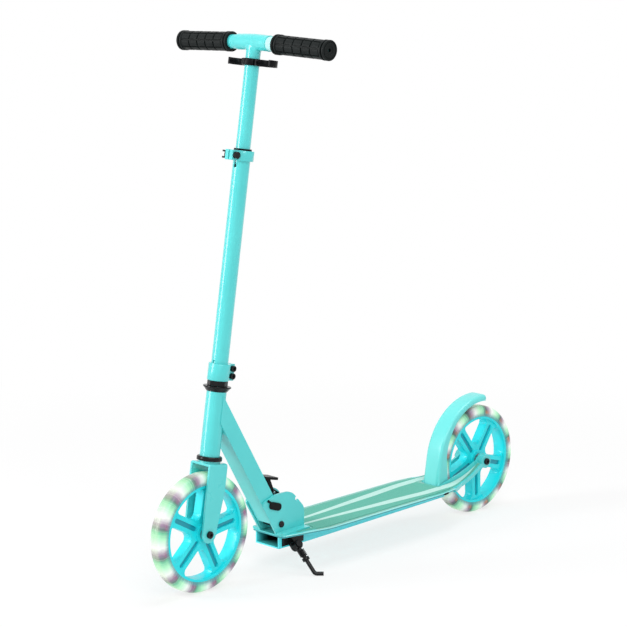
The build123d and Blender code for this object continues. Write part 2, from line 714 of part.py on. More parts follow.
# Lower stem tube, slit at the front of both ends
with BuildPart() as stem_tube:
    with BuildSketch(steer.offset(stem_bottom)):
        Circle(stem_radius)
        Circle(stem_bore_radius, mode=Mode.SUBTRACT)
    extrude(amount=STEM_LENGTH)
    with BuildSketch(steer_front):
        with Locations((0, stem_top)):
            Rectangle(STEM_SLIT, UPPER_SLIT_LENGTH, align=(Align.CENTER, Align.MAX))
        with Locations((0, stem_top - UPPER_SLIT_LENGTH)):
            Circle(UPPER_SLIT_HOLE)
        with Locations((0, stem_bottom)):
            Rectangle(STEM_SLIT, LOWER_SLIT_LENGTH, align=(Align.CENTER, Align.MIN))
        with Locations((0, stem_bottom + LOWER_SLIT_LENGTH)):
            Circle(LOWER_SLIT_HOLE)
    extrude(amount=2 * stem_radius, mode=Mode.SUBTRACT)
keep(stem_tube, "stem_tube")

with BuildPart() as stem_bush:
    with BuildSketch(steer.offset(stem_top)):
        Circle(stem_radius + BUSH_LIP)
        Circle(stem_bore_radius, mode=Mode.SUBTRACT)
    extrude(amount=BUSH_HEIGHT)
keep(stem_bush, "stem_bush")

# Two-bolt collar at the foot of the stem
with BuildSketch(steer_side) as collar_bolt_spots:
    with Locations((collar_bolt_x, collar_bottom + COLLAR_HEIGHT / 2)):
        with GridLocations(0, COLLAR_BOLT_SPACING, 1, 2):
            Circle(COLLAR_BOLT_RADIUS)

with BuildPart() as lower_clamp:
    with BuildSketch(steer.offset(collar_bottom)):
        Circle(collar_radius)
        Rectangle(collar_ear_reach, 2 * COLLAR_EAR_HALF, align=(Align.MAX, Align.CENTER))
        Circle(stem_radius + SEAT_GAP, mode=Mode.SUBTRACT)
        Rectangle(2 * collar_ear_reach, COLLAR_SLOT, align=(Align.MAX, Align.CENTER), mode=Mode.SUBTRACT)
    extrude(amount=COLLAR_HEIGHT)
    with BuildSketch(steer_side):
        with Locations((collar_bolt_x, collar_bottom + COLLAR_HEIGHT / 2)):
            with GridLocations(0, COLLAR_BOLT_SPACING, 1, 2):
                Circle(COLLAR_BOLT_RADIUS + SEAT_GAP)
    extrude(amount=2 * COLLAR_EAR_HALF, both=True, mode=Mode.SUBTRACT)
keep(lower_clamp, "lower_clamp")

with BuildPart() as lower_clamp_bolts:
    extrude(collar_bolt_spots.sketch, amount=COLLAR_EAR_HALF, both=True)
    with BuildSketch(left_of(steer_side, COLLAR_EAR_HALF)):
        with Locations((collar_bolt_x, collar_bottom + COLLAR_HEIGHT / 2)):
            with GridLocations(0, COLLAR_BOLT_SPACING, 1, 2):
                Circle(COLLAR_HEAD_RADIUS)
    extrude(amount=-COLLAR_HEAD_HEIGHT)
    with BuildSketch(left_of(steer_side, COLLAR_EAR_HALF + COLLAR_HEAD_HEIGHT)):
        with Locations((collar_bolt_x, collar_bottom + COLLAR_HEIGHT / 2)):
            with GridLocations(0, COLLAR_BOLT_SPACING, 1, 2):
                RegularPolygon(SOCKET_RADIUS, 6)
    extrude(amount=SOCKET_DEPTH, mode=Mode.SUBTRACT)
keep(lower_clamp_bolts, "lower_clamp_bolts")

# Quick-release collar, its cross bolt and its lever
with BuildPart() as clamp_collar:
    with BuildSketch(steer.offset(stem_top - CLAMP_HEIGHT)):
        Circle(clamp_radius)
        Rectangle(clamp_ear_reach, 2 * CLAMP_EAR_HALF, align=(Align.MIN, Align.CENTER))
        Circle(stem_radius + SEAT_GAP, mode=Mode.SUBTRACT)
        Rectangle(2 * clamp_ear_reach, CLAMP_SLOT, align=(Align.MIN, Align.CENTER), mode=Mode.SUBTRACT)
    extrude(amount=CLAMP_HEIGHT)
    with BuildSketch(steer_side):
        with Locations((clamp_bolt_x, clamp_middle)):
            Circle(CLAMP_BOLT_RADIUS + SEAT_GAP)
    extrude(amount=2 * CLAMP_EAR_HALF, both=True, mode=Mode.SUBTRACT)
keep(clamp_collar, "clamp_collar")

with BuildPart() as clamp_bolt:
    with BuildSketch(left_of(steer_side, CLAMP_EAR_HALF)):
        with Locations((clamp_bolt_x, clamp_middle)):
            Circle(CLAMP_BOLT_RADIUS)
    extrude(amount=CLAMP_EAR_HALF + lever_offset)
    with BuildSketch(left_of(steer_side, CLAMP_EAR_HALF)):
        with Locations((clamp_bolt_x, clamp_middle)):
            Circle(CLAMP_KNOB_RADIUS)
    extrude(amount=-CLAMP_KNOB_HEIGHT)
    with BuildSketch(steer.offset(clamp_middle)):
        with Locations((clamp_bolt_x, -lever_offset)):
            Circle(LEVER_PIN_RADIUS)
    extrude(amount=LEVER_HEIGHT / 2, both=True)
keep(clamp_bolt, "clamp_bolt")

with BuildPart() as clamp_lever:
    with BuildSketch(steer.offset(clamp_middle)):
        with BuildLine():
            FilletPolyline(
                (clamp_bolt_x, -lever_offset),
                (clamp_bolt_x - LEVER_BEND_X, -lever_line),
                (clamp_bolt_x - LEVER_REACH, -lever_line),
                radius=LEVER_BEND,
            )
        trace(line_width=LEVER_THICKNESS)
        with Locations((clamp_bolt_x, -lever_offset)):
            Circle(LEVER_CAM_RADIUS)
            Circle(LEVER_PIN_RADIUS + RUNNING_GAP, mode=Mode.SUBTRACT)
    extrude(amount=LEVER_HEIGHT / 2, both=True)
    with BuildSketch(steer.offset(clamp_middle)):
        with Locations((clamp_bolt_x - CLAMP_BOLT_RADIUS - LEVER_SLOT_GAP, -lever_offset)):
            Rectangle(3 * LEVER_CAM_RADIUS, 4 * LEVER_CAM_RADIUS, align=(Align.MIN, Align.CENTER))
    extrude(amount=CLAMP_BOLT_RADIUS + LEVER_SLOT_GAP, both=True, mode=Mode.SUBTRACT)
keep(clamp_lever, "clamp_lever")

# Handlebar: upper tube, T-sleeve and the clip that holds the grips when they are out
with BuildPart() as upper_tube:
    with BuildSketch(steer.offset(bar_station - UPPER_TUBE_LENGTH)):
        Circle(UPPER_TUBE_RADIUS)
        Circle(UPPER_TUBE_RADIUS - UPPER_TUBE_WALL, mode=Mode.SUBTRACT)
    extrude(amount=UPPER_TUBE_LENGTH)
    for half in (bar_left, bar_right):
        with BuildSketch(half.offset(-SLEEVE_RADIUS)):
            Circle(SLEEVE_RADIUS + SEAT_GAP)
        extrude(amount=SLEEVE_HALF_LENGTH, mode=Mode.SUBTRACT)
keep(upper_tube, "upper_tube")

with BuildPart() as bar_sleeve:
    for half in (bar_left, bar_right):
        with BuildSketch(half):
            Circle(SLEEVE_RADIUS)
        extrude(amount=SLEEVE_HALF_LENGTH)
    for half in (bar_left, bar_right):
        with BuildSketch(half):
            Circle(SLEEVE_RADIUS - SLEEVE_WALL)
        extrude(amount=SLEEVE_HALF_LENGTH, mode=Mode.SUBTRACT)
keep(bar_sleeve, "bar_sleeve")

with BuildPart() as grip_holder:
    with BuildSketch(steer.offset(bar_station - HOLDER_DROP - HOLDER_HEIGHT / 2)):
        Circle(UPPER_TUBE_RADIUS + HOLDER_RING_WALL)
        Rectangle(HOLDER_BRIDGE, 2 * HOLDER_CLIP_OFFSET)
        with Locations((0, -HOLDER_CLIP_OFFSET), (0, HOLDER_CLIP_OFFSET)):
            Circle(HOLDER_CLIP_RADIUS)
        with Locations((0, -HOLDER_CLIP_OFFSET), (0, HOLDER_CLIP_OFFSET)):
            Circle(HOLDER_CLIP_RADIUS - HOLDER_CLIP_WALL, mode=Mode.SUBTRACT)
        with Locations((HOLDER_CLIP_MOUTH, -HOLDER_CLIP_OFFSET), (HOLDER_CLIP_MOUTH, HOLDER_CLIP_OFFSET)):
            Rectangle(
                HOLDER_CLIP_RADIUS,
                2 * HOLDER_CLIP_RADIUS,
                align=(Align.MIN, Align.CENTER),
                mode=Mode.SUBTRACT,
            )
        Circle(UPPER_TUBE_RADIUS + SEAT_GAP, mode=Mode.SUBTRACT)
    extrude(amount=HOLDER_HEIGHT)
keep(grip_holder, "grip_holder")

# Pull-out grips, each on its own tube
for hand, half in (("left", bar_left), ("right", bar_right)):
    with BuildPart() as grip_tube:
        with BuildSketch(half.offset(GRIP_TUBE_INNER_END)):
            Circle(grip_tube_radius)
            Circle(grip_tube_radius - GRIP_TUBE_WALL, mode=Mode.SUBTRACT)
        extrude(amount=grip_end - GRIP_END_WALL - SEAT_GAP - GRIP_TUBE_INNER_END)
    keep(grip_tube, f"grip_tube_{hand}")

    with BuildPart() as grip:
        with BuildSketch(half.offset(GRIP_START)):
            Circle(GRIP_RADIUS - GRIP_WAIST)
        extrude(amount=grip_end - GRIP_START)
        for start in (
            GRIP_START,
            GRIP_START + GRIP_FLANGE_WIDTH + GRIP_FLANGE_GAP,
            grip_end - 2 * GRIP_FLANGE_WIDTH - GRIP_FLANGE_GAP,
            grip_end - GRIP_FLANGE_WIDTH,
        ):
            with BuildSketch(half.offset(start)):
                Circle(GRIP_RADIUS)
            extrude(amount=GRIP_FLANGE_WIDTH)
        with BuildSketch(half.offset(GRIP_START)):
            Circle(grip_tube_radius + SEAT_GAP)
        extrude(amount=grip_end - GRIP_END_WALL - GRIP_START, mode=Mode.SUBTRACT)
        with BuildSketch(half.offset(GRIP_START)):
            Circle(GRIP_VENT_RADIUS)
        extrude(amount=grip_end - GRIP_START, mode=Mode.SUBTRACT)
    keep(grip, f"grip_{hand}")

# Deck plate and grip tape, both cut from the same outline
deck_corners = [
    (deck_front_x, DECK_FRONT_HALF),
    (deck_front_taper_x, DECK_HALF_WIDTH),
    (deck_rear_taper_x, DECK_HALF_WIDTH),
    (deck_rear_x, DECK_REAR_HALF),
]
with BuildSketch(deck) as deck_outline:
    Polygon(*deck_corners, *[(x, -y) for x, y in reversed(deck_corners)], align=None)
    fillet(deck_outline.vertices().group_by(Axis.X)[-1], DECK_CORNER_ROUND)
    fillet(
        deck_outline.vertices().filter_by_position(Axis.X, deck_front_taper_x - 1, deck_front_taper_x + 1),
        DECK_TAPER_ROUND,
    )

with BuildPart() as deck_plate:
    extrude(deck_outline.sketch, amount=-DECK_PLATE)
    with BuildSketch(deck):
        with Locations((fender_slot_front_x, 0)):
            Rectangle(DECK_HALF_WIDTH, 2 * fender_slot_half, align=(Align.MAX, Align.CENTER))
    extrude(amount=DECK_PLATE, both=True, mode=Mode.SUBTRACT)
keep(deck_plate, "deck_plate")

with BuildPart() as grip_tape:
    with BuildSketch(deck):
        add(deck_outline.sketch_local)
        offset(amount=-TAPE_MARGIN, kind=Kind.INTERSECTION, mode=Mode.REPLACE)
        with Locations((fender_slot_front_x + TAPE_MARGIN, 0)):
            Rectangle(
                DECK_HALF_WIDTH,
                2 * (fender_slot_half + TAPE_MARGIN),
                align=(Align.MAX, Align.CENTER),
                mode=Mode.SUBTRACT,
            )
        with Locations((fold_rear_x - TAPE_MARGIN, 0)):
            Rectangle(
                deck_front_x,
                2 * (fold_outer + FOLD_FLANGE + 1),
                align=(Align.MIN, Align.CENTER),
                mode=Mode.SUBTRACT,
            )
    extrude(amount=TAPE_THICKNESS)
keep(grip_tape, "grip_tape")

# Beam under the deck: a channel that is closed by the plate
with BuildPart() as deck_beam:
    with BuildSketch(Plane.XZ):
        Polygon(
            (deck_front_x, deck_under(deck_front_x)),
            (deck_rear_x, deck_under(deck_rear_x)),
            (deck_rear_x, BEAM_REAR_BOTTOM),
            (beam_taper_x, BEAM_BOTTOM),
            (deck_front_x, BEAM_BOTTOM),
            align=None,
        )
    extrude(amount=BEAM_HALF_WIDTH, both=True)
    with BuildSketch(Plane.XZ):
        Polygon(
            (deck_front_x, DECK_HEIGHT + DECK_PLATE),
            (deck_rear_x, DECK_HEIGHT + DECK_PLATE),
            (deck_rear_x, BEAM_REAR_BOTTOM + BEAM_WALL),
            (beam_taper_x, BEAM_BOTTOM + BEAM_WALL),
            (deck_front_x, BEAM_BOTTOM + BEAM_WALL),
            align=None,
        )
    extrude(amount=BEAM_HALF_WIDTH - BEAM_WALL, both=True, mode=Mode.SUBTRACT)
    with BuildSketch(Plane.XZ):
        with Locations((fender_pin_x, fender_pin_z)):
            Circle(FENDER_PIN_RADIUS + SEAT_GAP)
    extrude(amount=2 * BEAM_HALF_WIDTH, both=True, mode=Mode.SUBTRACT)
keep(deck_beam, "deck_beam")

# Rear arms: side shape and plan shape, cut into each other
arm_start_x = deck_rear_x - SEAT_GAP
arm_start_z = deck_top(deck_rear_x) - ARM_THICKNESS / 2
with BuildSketch(Plane.XZ) as arm_side:
    with BuildLine():
        TangentArc(
            (arm_start_x, arm_start_z),
            (rear_axle_x, WHEEL_RADIUS + ARM_RISE),
            tangent=(-1, 0),
        )
    trace(line_width=ARM_THICKNESS)
    with Locations((rear_axle_x, WHEEL_RADIUS)):
        Circle(ARM_LUG_RADIUS)
        Circle(AXLE_RADIUS + SEAT_GAP, mode=Mode.SUBTRACT)

for hand, way in (("left", 1), ("right", -1)):
    with BuildPart() as rear_arm:
        with BuildSketch():
            Polygon(
                (arm_start_x, way * arm_inner),
                (arm_start_x, way * DECK_REAR_HALF),
                (deck_rear_x - ARM_WAIST, way * ARM_WAIST_OUTER),
                (rear_axle_x + ARM_LUG_RADIUS, way * arm_outer),
                (rear_axle_x - 2 * ARM_LUG_RADIUS, way * arm_outer),
                (rear_axle_x - 2 * ARM_LUG_RADIUS, way * arm_inner),
                align=None,
            )
        extrude(amount=2 * WHEEL_RADIUS)
        extrude(arm_side.sketch, amount=DECK_HALF_WIDTH, both=True, mode=Mode.INTERSECT)
    keep(rear_arm, f"rear_arm_{hand}")

# Folding joint: side plates with a flange on the deck, pivot and lock covers
with BuildSketch(Plane.XZ) as fold_side:
    Polygon(
        (fold_front_x, deck_top(fold_front_x)),
        (pivot_x + FOLD_NOSE_FRONT, pivot_z + FOLD_NOSE_HEIGHT),
        (pivot_x + FOLD_TOP_FRONT, pivot_z + FOLD_TOP_HEIGHT),
        (pivot_x + FOLD_TOP_REAR, pivot_z + FOLD_TOP_HEIGHT),
        (fold_rear_x, pivot_z + FOLD_SHOULDER_HEIGHT),
        (fold_rear_x, deck_top(fold_rear_x)),
        align=None,
    )
    fillet(fold_side.vertices().sort_by(Axis.X)[-1], FOLD_NOSE_ROUND)
    fillet(fold_side.vertices().group_by(Axis.Y)[-1], FOLD_TOP_ROUND)
    fillet(fold_side.vertices().group_by(Axis.X)[0].sort_by(Axis.Y)[-1], FOLD_SHOULDER_ROUND)
    with Locations((pivot_x + FOLD_NOTCH_FRONT, pivot_z + FOLD_NOTCH_HEIGHT)):
        Circle(FOLD_NOTCH_RADIUS, mode=Mode.SUBTRACT)
    with Locations((pivot_x, pivot_z)):
        Circle(PIVOT_RADIUS + SEAT_GAP, mode=Mode.SUBTRACT)

for hand, way in (("left", 1), ("right", -1)):
    with BuildPart() as fold_plate:
        with BuildSketch(left_of(Plane.XZ, way * fold_inner)):
            add(fold_side.sketch_local)
        extrude(amount=-way * FOLD_PLATE)
        with BuildSketch(deck):
            with Locations((fold_rear_x, way * (fold_inner + fold_outer + FOLD_FLANGE) / 2)):
                Rectangle(
                    fold_front_x - fold_rear_x,
                    FOLD_PLATE + FOLD_FLANGE,
                    align=(Align.MIN, Align.CENTER),
                )
        extrude(amount=FOLD_PLATE)
    keep(fold_plate, f"fold_plate_{hand}")

with BuildPart() as pivot_bolt:
    with BuildSketch(left_of(Plane.XZ, fold_outer)):
        with Locations((pivot_x, pivot_z)):
            Circle(PIVOT_HEAD_RADIUS)
    extrude(amount=-PIVOT_HEAD_HEIGHT)
    fillet(pivot_bolt.edges().group_by(Axis.Y)[-1], PIVOT_HEAD_ROUND)
    with BuildSketch(left_of(Plane.XZ, fold_outer)):
        with Locations((pivot_x, pivot_z)):
            Circle(PIVOT_RADIUS)
    extrude(amount=2 * fold_outer + PIVOT_NUT_HEIGHT)
keep(pivot_bolt, "pivot_bolt")

with BuildPart() as pivot_nut:
    with BuildSketch(left_of(Plane.XZ, -fold_outer)):
        with Locations((pivot_x, pivot_z)):
            RegularPolygon(PIVOT_NUT_RADIUS, 6)
            Circle(PIVOT_RADIUS + SEAT_GAP, mode=Mode.SUBTRACT)
    extrude(amount=PIVOT_NUT_HEIGHT)
keep(pivot_nut, "pivot_nut")

with BuildPart() as lock_covers:
    with BuildSketch(left_of(Plane.XZ, fold_outer)):
        with Locations(lock_spot):
            SlotOverall(LOCK_LENGTH, LOCK_WIDTH, rotation=LOCK_ANGLE)
        with BuildLine():
            Line(lock_spot, lock_tail_spot)
        trace(line_width=LOCK_TAIL_WIDTH)
    extrude(amount=-LOCK_THICKNESS)
    mirror(about=Plane.XZ)
keep(lock_covers, "lock_covers")

# Down tube, open at its lower end and fitted round the head tube
with BuildPart() as down_tube:
    with BuildSketch(tube_side):
        Rectangle(
            DOWN_TUBE_DEPTH,
            down_tube_length + DOWN_TUBE_DEPTH,
            align=(Align.CENTER, Align.MIN),
        )
        Circle(DOWN_TUBE_DEPTH / 2)
    extrude(amount=DOWN_TUBE_WIDTH / 2, both=True)
    with BuildSketch(tube_side):
        with Locations((0, -DOWN_TUBE_DEPTH)):
            Rectangle(
                DOWN_TUBE_DEPTH - 2 * DOWN_TUBE_WALL,
                down_tube_length + 3 * DOWN_TUBE_DEPTH,
                align=(Align.CENTER, Align.MIN),
            )
        with Locations((0, DOWN_TUBE_OPEN)):
            Rectangle(2 * DOWN_TUBE_DEPTH, 2 * DOWN_TUBE_DEPTH, align=(Align.CENTER, Align.MAX))
    extrude(amount=DOWN_TUBE_WIDTH / 2 - DOWN_TUBE_WALL, both=True, mode=Mode.SUBTRACT)
    with BuildSketch(tube_side):
        Circle(PIVOT_BUSH_RADIUS + SEAT_GAP)
    extrude(amount=DOWN_TUBE_WIDTH, both=True, mode=Mode.SUBTRACT)
    with BuildSketch(steer):
        Circle(head_tube_radius + SEAT_GAP)
    extrude(amount=stem_top, mode=Mode.SUBTRACT)
    with BuildSketch(steer_side):
        Rectangle(stem_top, stem_top, align=(Align.MIN, Align.MIN))
    extrude(amount=DOWN_TUBE_WIDTH, both=True, mode=Mode.SUBTRACT)
keep(down_tube, "down_tube")

with BuildPart() as pivot_bush:
    with BuildSketch(tube_side):
        Circle(PIVOT_BUSH_RADIUS)
        Circle(PIVOT_RADIUS + RUNNING_GAP, mode=Mode.SUBTRACT)
    extrude(amount=DOWN_TUBE_WIDTH / 2 - SEAT_GAP, both=True)
keep(pivot_bush, "pivot_bush")

# Latch on the back of the down tube
latch_ear_inner = LATCH_HALF_WIDTH + SIDE_GAP
with BuildPart() as latch_bracket:
    with BuildSketch(tube_side):
        with Locations((-DOWN_TUBE_DEPTH / 2, LATCH_UP)):
            Rectangle(LATCH_BASE, LATCH_BASE_LENGTH, align=(Align.MAX, Align.CENTER))
    extrude(amount=latch_ear_inner + LATCH_EAR, both=True)
    with BuildSketch(left_of(tube_side, latch_ear_inner)):
        with Locations((-DOWN_TUBE_DEPTH / 2, LATCH_UP)):
            Rectangle(
                LATCH_STANDOFF,
                2 * LATCH_BOSS_RADIUS,
                align=(Align.MAX, Align.CENTER),
            )
        with Locations(latch_spot):
            Circle(LATCH_BOSS_RADIUS)
            Circle(LATCH_PIN_RADIUS + SEAT_GAP, mode=Mode.SUBTRACT)
    extrude(amount=-LATCH_EAR)
    with BuildSketch(left_of(tube_side, -latch_ear_inner)):
        with Locations((-DOWN_TUBE_DEPTH / 2, LATCH_UP)):
            Rectangle(
                LATCH_STANDOFF,
                2 * LATCH_BOSS_RADIUS,
                align=(Align.MAX, Align.CENTER),
            )
        with Locations(latch_spot):
            Circle(LATCH_BOSS_RADIUS)
            Circle(LATCH_PIN_RADIUS + SEAT_GAP, mode=Mode.SUBTRACT)
    extrude(amount=LATCH_EAR)
keep(latch_bracket, "latch_bracket")

with BuildPart() as latch_pin:
    with BuildSketch(tube_side):
        with Locations(latch_spot):
            Circle(LATCH_PIN_RADIUS)
    extrude(amount=latch_ear_inner + LATCH_EAR, both=True)
keep(latch_pin, "latch_pin")

with BuildPart() as latch_pedal:
    with BuildSketch(latch_side):
        with BuildLine():
            Line((0, 0), LATCH_NECK)
        trace(line_width=LATCH_ARM_WIDTH)
        Polygon((0, 0), HOOK_BACK, HOOK_TIP, HOOK_FRONT, align=None)
        Circle(LATCH_BOSS_RADIUS)
        Circle(LATCH_PIN_RADIUS + RUNNING_GAP, mode=Mode.SUBTRACT)
    extrude(amount=LATCH_HALF_WIDTH, both=True)
    with BuildSketch(latch_side):
        with BuildLine():
            Line(PEDAL_ROOT, PEDAL_TIP)
        trace(line_width=PEDAL_THICKNESS)
    extrude(amount=PEDAL_HALF_WIDTH, both=True)
keep(latch_pedal, "latch_pedal")

# Kickstand: bracket with its pin, leg, spring and collar
kick_tab_face = KICK_HUB_HALF + SIDE_GAP
with BuildPart() as kickstand_bracket:
    with BuildSketch(left_of(Plane.XZ, BEAM_HALF_WIDTH)):
        with Locations((kick_pivot.X, BEAM_BOTTOM + KICK_BRACKET_LIFT)):
            Rectangle(KICK_BRACKET_LENGTH, KICK_BRACKET_HEIGHT, align=(Align.CENTER, Align.MIN))
    extrude(amount=-KICK_BRACKET_THICKNESS)
    with BuildSketch(kick.offset(-kick_tab_face)):
        Circle(KICK_HUB_RADIUS)
        Rectangle(2 * KICK_HUB_RADIUS, KICK_TAB_LENGTH, align=(Align.CENTER, Align.MAX))
    extrude(amount=-KICK_TAB)
    with BuildSketch(left_of(Plane.XZ, BEAM_HALF_WIDTH)):
        Rectangle(WHEEL_BASE, WHEEL_BASE)
    extrude(amount=BEAM_HALF_WIDTH, mode=Mode.SUBTRACT)
    with BuildSketch(kick.offset(-kick_tab_face)):
        Circle(KICK_PIN_RADIUS)
    extrude(amount=2 * kick_tab_face)
    with BuildSketch(kick.offset(kick_tab_face)):
        Circle(KICK_PIN_HEAD_RADIUS)
    extrude(amount=KICK_PIN_HEAD)
keep(kickstand_bracket, "kickstand_bracket")

with BuildPart() as kickstand_leg:
    with BuildLine() as leg_line:
        FilletPolyline(kick_pivot + kick_down * KICK_PIN_HEAD_RADIUS, kick_heel, kick_toe, radius=KICK_BEND)
    with BuildSketch(Plane(origin=leg_line.wire() @ 0, z_dir=kick_down)):
        Circle(KICK_ROD_RADIUS)
    sweep(path=leg_line.wire())
    with BuildSketch(kick):
        Circle(KICK_HUB_RADIUS)
    extrude(amount=KICK_HUB_HALF, both=True)
    with BuildSketch(kick):
        Circle(KICK_PIN_RADIUS + RUNNING_GAP)
    extrude(amount=2 * KICK_HUB_HALF, both=True, mode=Mode.SUBTRACT)
keep(kickstand_leg, "kickstand_leg")

kick_spring_place = Plane(origin=kick_pivot + kick_down * KICK_SPRING_START, z_dir=kick_down)
kickstand_spring = coil_spring(
    kick_spring_place,
    "kickstand_spring",
    KICK_ROD_RADIUS + KICK_SPRING_LIFT + KICK_SPRING_WIRE,
    KICK_SPRING_WIRE,
    KICK_SPRING_PITCH,
    KICK_SPRING_TURNS,
)
keep(kickstand_spring, "kickstand_spring")

with BuildPart() as kickstand_collar:
    with BuildSketch(kick_spring_place.offset(KICK_SPRING_TURNS * KICK_SPRING_PITCH + 2 * KICK_SPRING_WIRE)):
        Circle(KICK_COLLAR_RADIUS)
        Circle(KICK_ROD_RADIUS + SEAT_GAP, mode=Mode.SUBTRACT)
    extrude(amount=KICK_COLLAR_LENGTH)
keep(kickstand_collar, "kickstand_collar")

# Fender brake: a shell round the rear wheel with two lugs on a pin in the beam
with BuildSketch(rear_side) as fender_lug:
    with Locations(fender_pin_spot):
        Circle(FENDER_LUG_RADIUS)
    with Locations((foot_front_x - 2 * FENDER_LUG_RADIUS, fender_foot + FENDER_LUG_RADIUS)):
        Circle(FENDER_LUG_RADIUS)
    with Locations((foot_rear_x + FENDER_LUG_RADIUS, fender_foot + FENDER_LUG_RADIUS)):
        Circle(FENDER_LUG_RADIUS)
    make_hull()

with BuildPart() as fender:
    with BuildSketch(rear_side):
        with BuildLine():
            outer_edge = CenterArc(fender_centre, fender_radius, FENDER_LEAN, FENDER_TAIL_ANGLE - FENDER_LEAN)
            inner_edge = TangentArc(skirt_top, tail_inner, tangent=(0, 1))
            Polyline(
                outer_edge @ 0,
                (foot_front_x, fender_foot),
                (foot_rear_x, fender_foot),
                skirt_top,
            )
            Line(inner_edge @ 1, outer_edge @ 1)
        make_face()
    extrude(amount=fender_half_width, both=True)
    tail = fender.faces().sort_by(Axis.X)[0]
    fillet(tail.edges().filter_by(Axis.Y, reverse=True), FENDER_TAIL_ROUND)
    rims = fender.edges().filter_by(GeomType.CIRCLE).filter_by(lambda edge: edge.radius > fender_radius - 1)
    front_face = fender.faces().sort_by(Axis.X)[-1]
    fillet(rims + front_face.edges().filter_by(Axis.Y, reverse=True), FENDER_ROUND)
    extrude(fender_lug.sketch, amount=fender_half_width, both=True)
    with BuildSketch(rear_side):
        with Locations(fender_centre):
            Circle(fender_radius - FENDER_WEB)
        with Locations(Location((*fender_centre, 0), (0, 0, FENDER_LEAN))):
            Rectangle(fender_radius - FENDER_WEB, 2 * fender_radius, align=(Align.MIN, Align.MAX))
        with Locations((0, fender_foot)):
            Rectangle(2 * fender_radius, WHEEL_RADIUS, align=(Align.MIN, Align.MAX))
    extrude(amount=fender_half_width - FENDER_WALL, both=True, mode=Mode.SUBTRACT)
    with BuildSketch(rear_side):
        with Locations(fender_pin_spot):
            Circle(FENDER_PIN_RADIUS + RUNNING_GAP)
    extrude(amount=fender_radius, both=True, mode=Mode.SUBTRACT)
keep(fender, "fender")

# Pad under the fender, shaped to meet the tyre when the brake is pressed
pad_start = radians(PAD_START_ANGLE)
pad_end = radians(PAD_END_ANGLE)
with BuildPart() as brake_pad:
    with BuildSketch(rear_side):
        with Locations(fender_centre):
            Circle(fender_radius - FENDER_WEB - SEAT_GAP)
        with Locations(pressed_wheel):
            Circle(WHEEL_RADIUS + PAD_TYRE_GAP, mode=Mode.SUBTRACT)
        Polygon(
            (0, 0),
            (2 * fender_radius * cos(pad_start), 2 * fender_radius * sin(pad_start)),
            (2 * fender_radius * cos(pad_end), 2 * fender_radius * sin(pad_end)),
            align=None,
            mode=Mode.INTERSECT,
        )
    extrude(amount=PAD_HALF_WIDTH, both=True)
keep(brake_pad, "brake_pad")

with BuildPart() as fender_pin:
    with BuildSketch(rear_side):
        with Locations(fender_pin_spot):
            Circle(FENDER_PIN_RADIUS)
    extrude(amount=BEAM_HALF_WIDTH, both=True)
    with BuildSketch(left_of(rear_side, BEAM_HALF_WIDTH)):
        with Locations(fender_pin_spot):
            Circle(FENDER_PIN_HEAD_RADIUS)
    extrude(amount=-FENDER_PIN_HEAD)
    mirror(about=Plane.XZ)
keep(fender_pin, "fender_pin")

brake_spring = coil_spring(
    Plane(
        origin=(fender_pin_x, -BRAKE_SPRING_TURNS * BRAKE_SPRING_PITCH / 2, fender_pin_z),
        x_dir=(1, 0, 0),
        z_dir=(0, 1, 0),
    ),
    "brake_spring",
    FENDER_PIN_RADIUS + BRAKE_SPRING_LIFT + BRAKE_SPRING_WIRE,
    BRAKE_SPRING_WIRE,
    BRAKE_SPRING_PITCH,
    BRAKE_SPRING_TURNS,
)
keep(brake_spring, "brake_spring")
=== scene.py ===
import json
import math

import bmesh
import bpy
from mathutils import Matrix, Vector


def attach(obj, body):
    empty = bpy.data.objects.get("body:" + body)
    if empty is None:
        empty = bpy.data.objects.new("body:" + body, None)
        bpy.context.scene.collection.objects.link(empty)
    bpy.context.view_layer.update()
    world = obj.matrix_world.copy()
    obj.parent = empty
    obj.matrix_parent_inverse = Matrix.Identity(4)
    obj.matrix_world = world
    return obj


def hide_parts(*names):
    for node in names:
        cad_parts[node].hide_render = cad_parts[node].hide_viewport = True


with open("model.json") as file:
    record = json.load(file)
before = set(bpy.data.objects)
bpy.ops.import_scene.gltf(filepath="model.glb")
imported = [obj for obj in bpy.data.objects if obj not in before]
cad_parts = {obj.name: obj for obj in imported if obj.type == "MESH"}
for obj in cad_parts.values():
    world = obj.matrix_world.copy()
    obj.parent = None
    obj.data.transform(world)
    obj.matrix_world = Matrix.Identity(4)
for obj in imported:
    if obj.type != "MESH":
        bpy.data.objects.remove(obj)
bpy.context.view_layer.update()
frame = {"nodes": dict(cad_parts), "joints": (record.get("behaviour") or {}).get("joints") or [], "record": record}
scene = bpy.context.scene
MM = 0.001

# Places, in millimetres, and axes that the frame's joints give
JOINTS = {joint["name"]: joint for joint in frame["joints"]}


def joint_place(name):
    return Vector(JOINTS[name]["pos_m"]) / MM


def joint_axis(name):
    return Vector(JOINTS[name]["axis"])


FRONT_AXLE = joint_place("front_wheel_spin")
REAR_AXLE = joint_place("rear_wheel_spin")
STEM_UP = joint_axis("steer")
STEM_BEARING = joint_place("steer")
STEM_FOOT = STEM_BEARING - STEM_UP * (STEM_BEARING.z / STEM_UP.z)
FORWARD = Vector((1, 0, 0))
ACROSS = Vector((0, 1, 0))
SIDES = (("left", 1), ("right", -1))


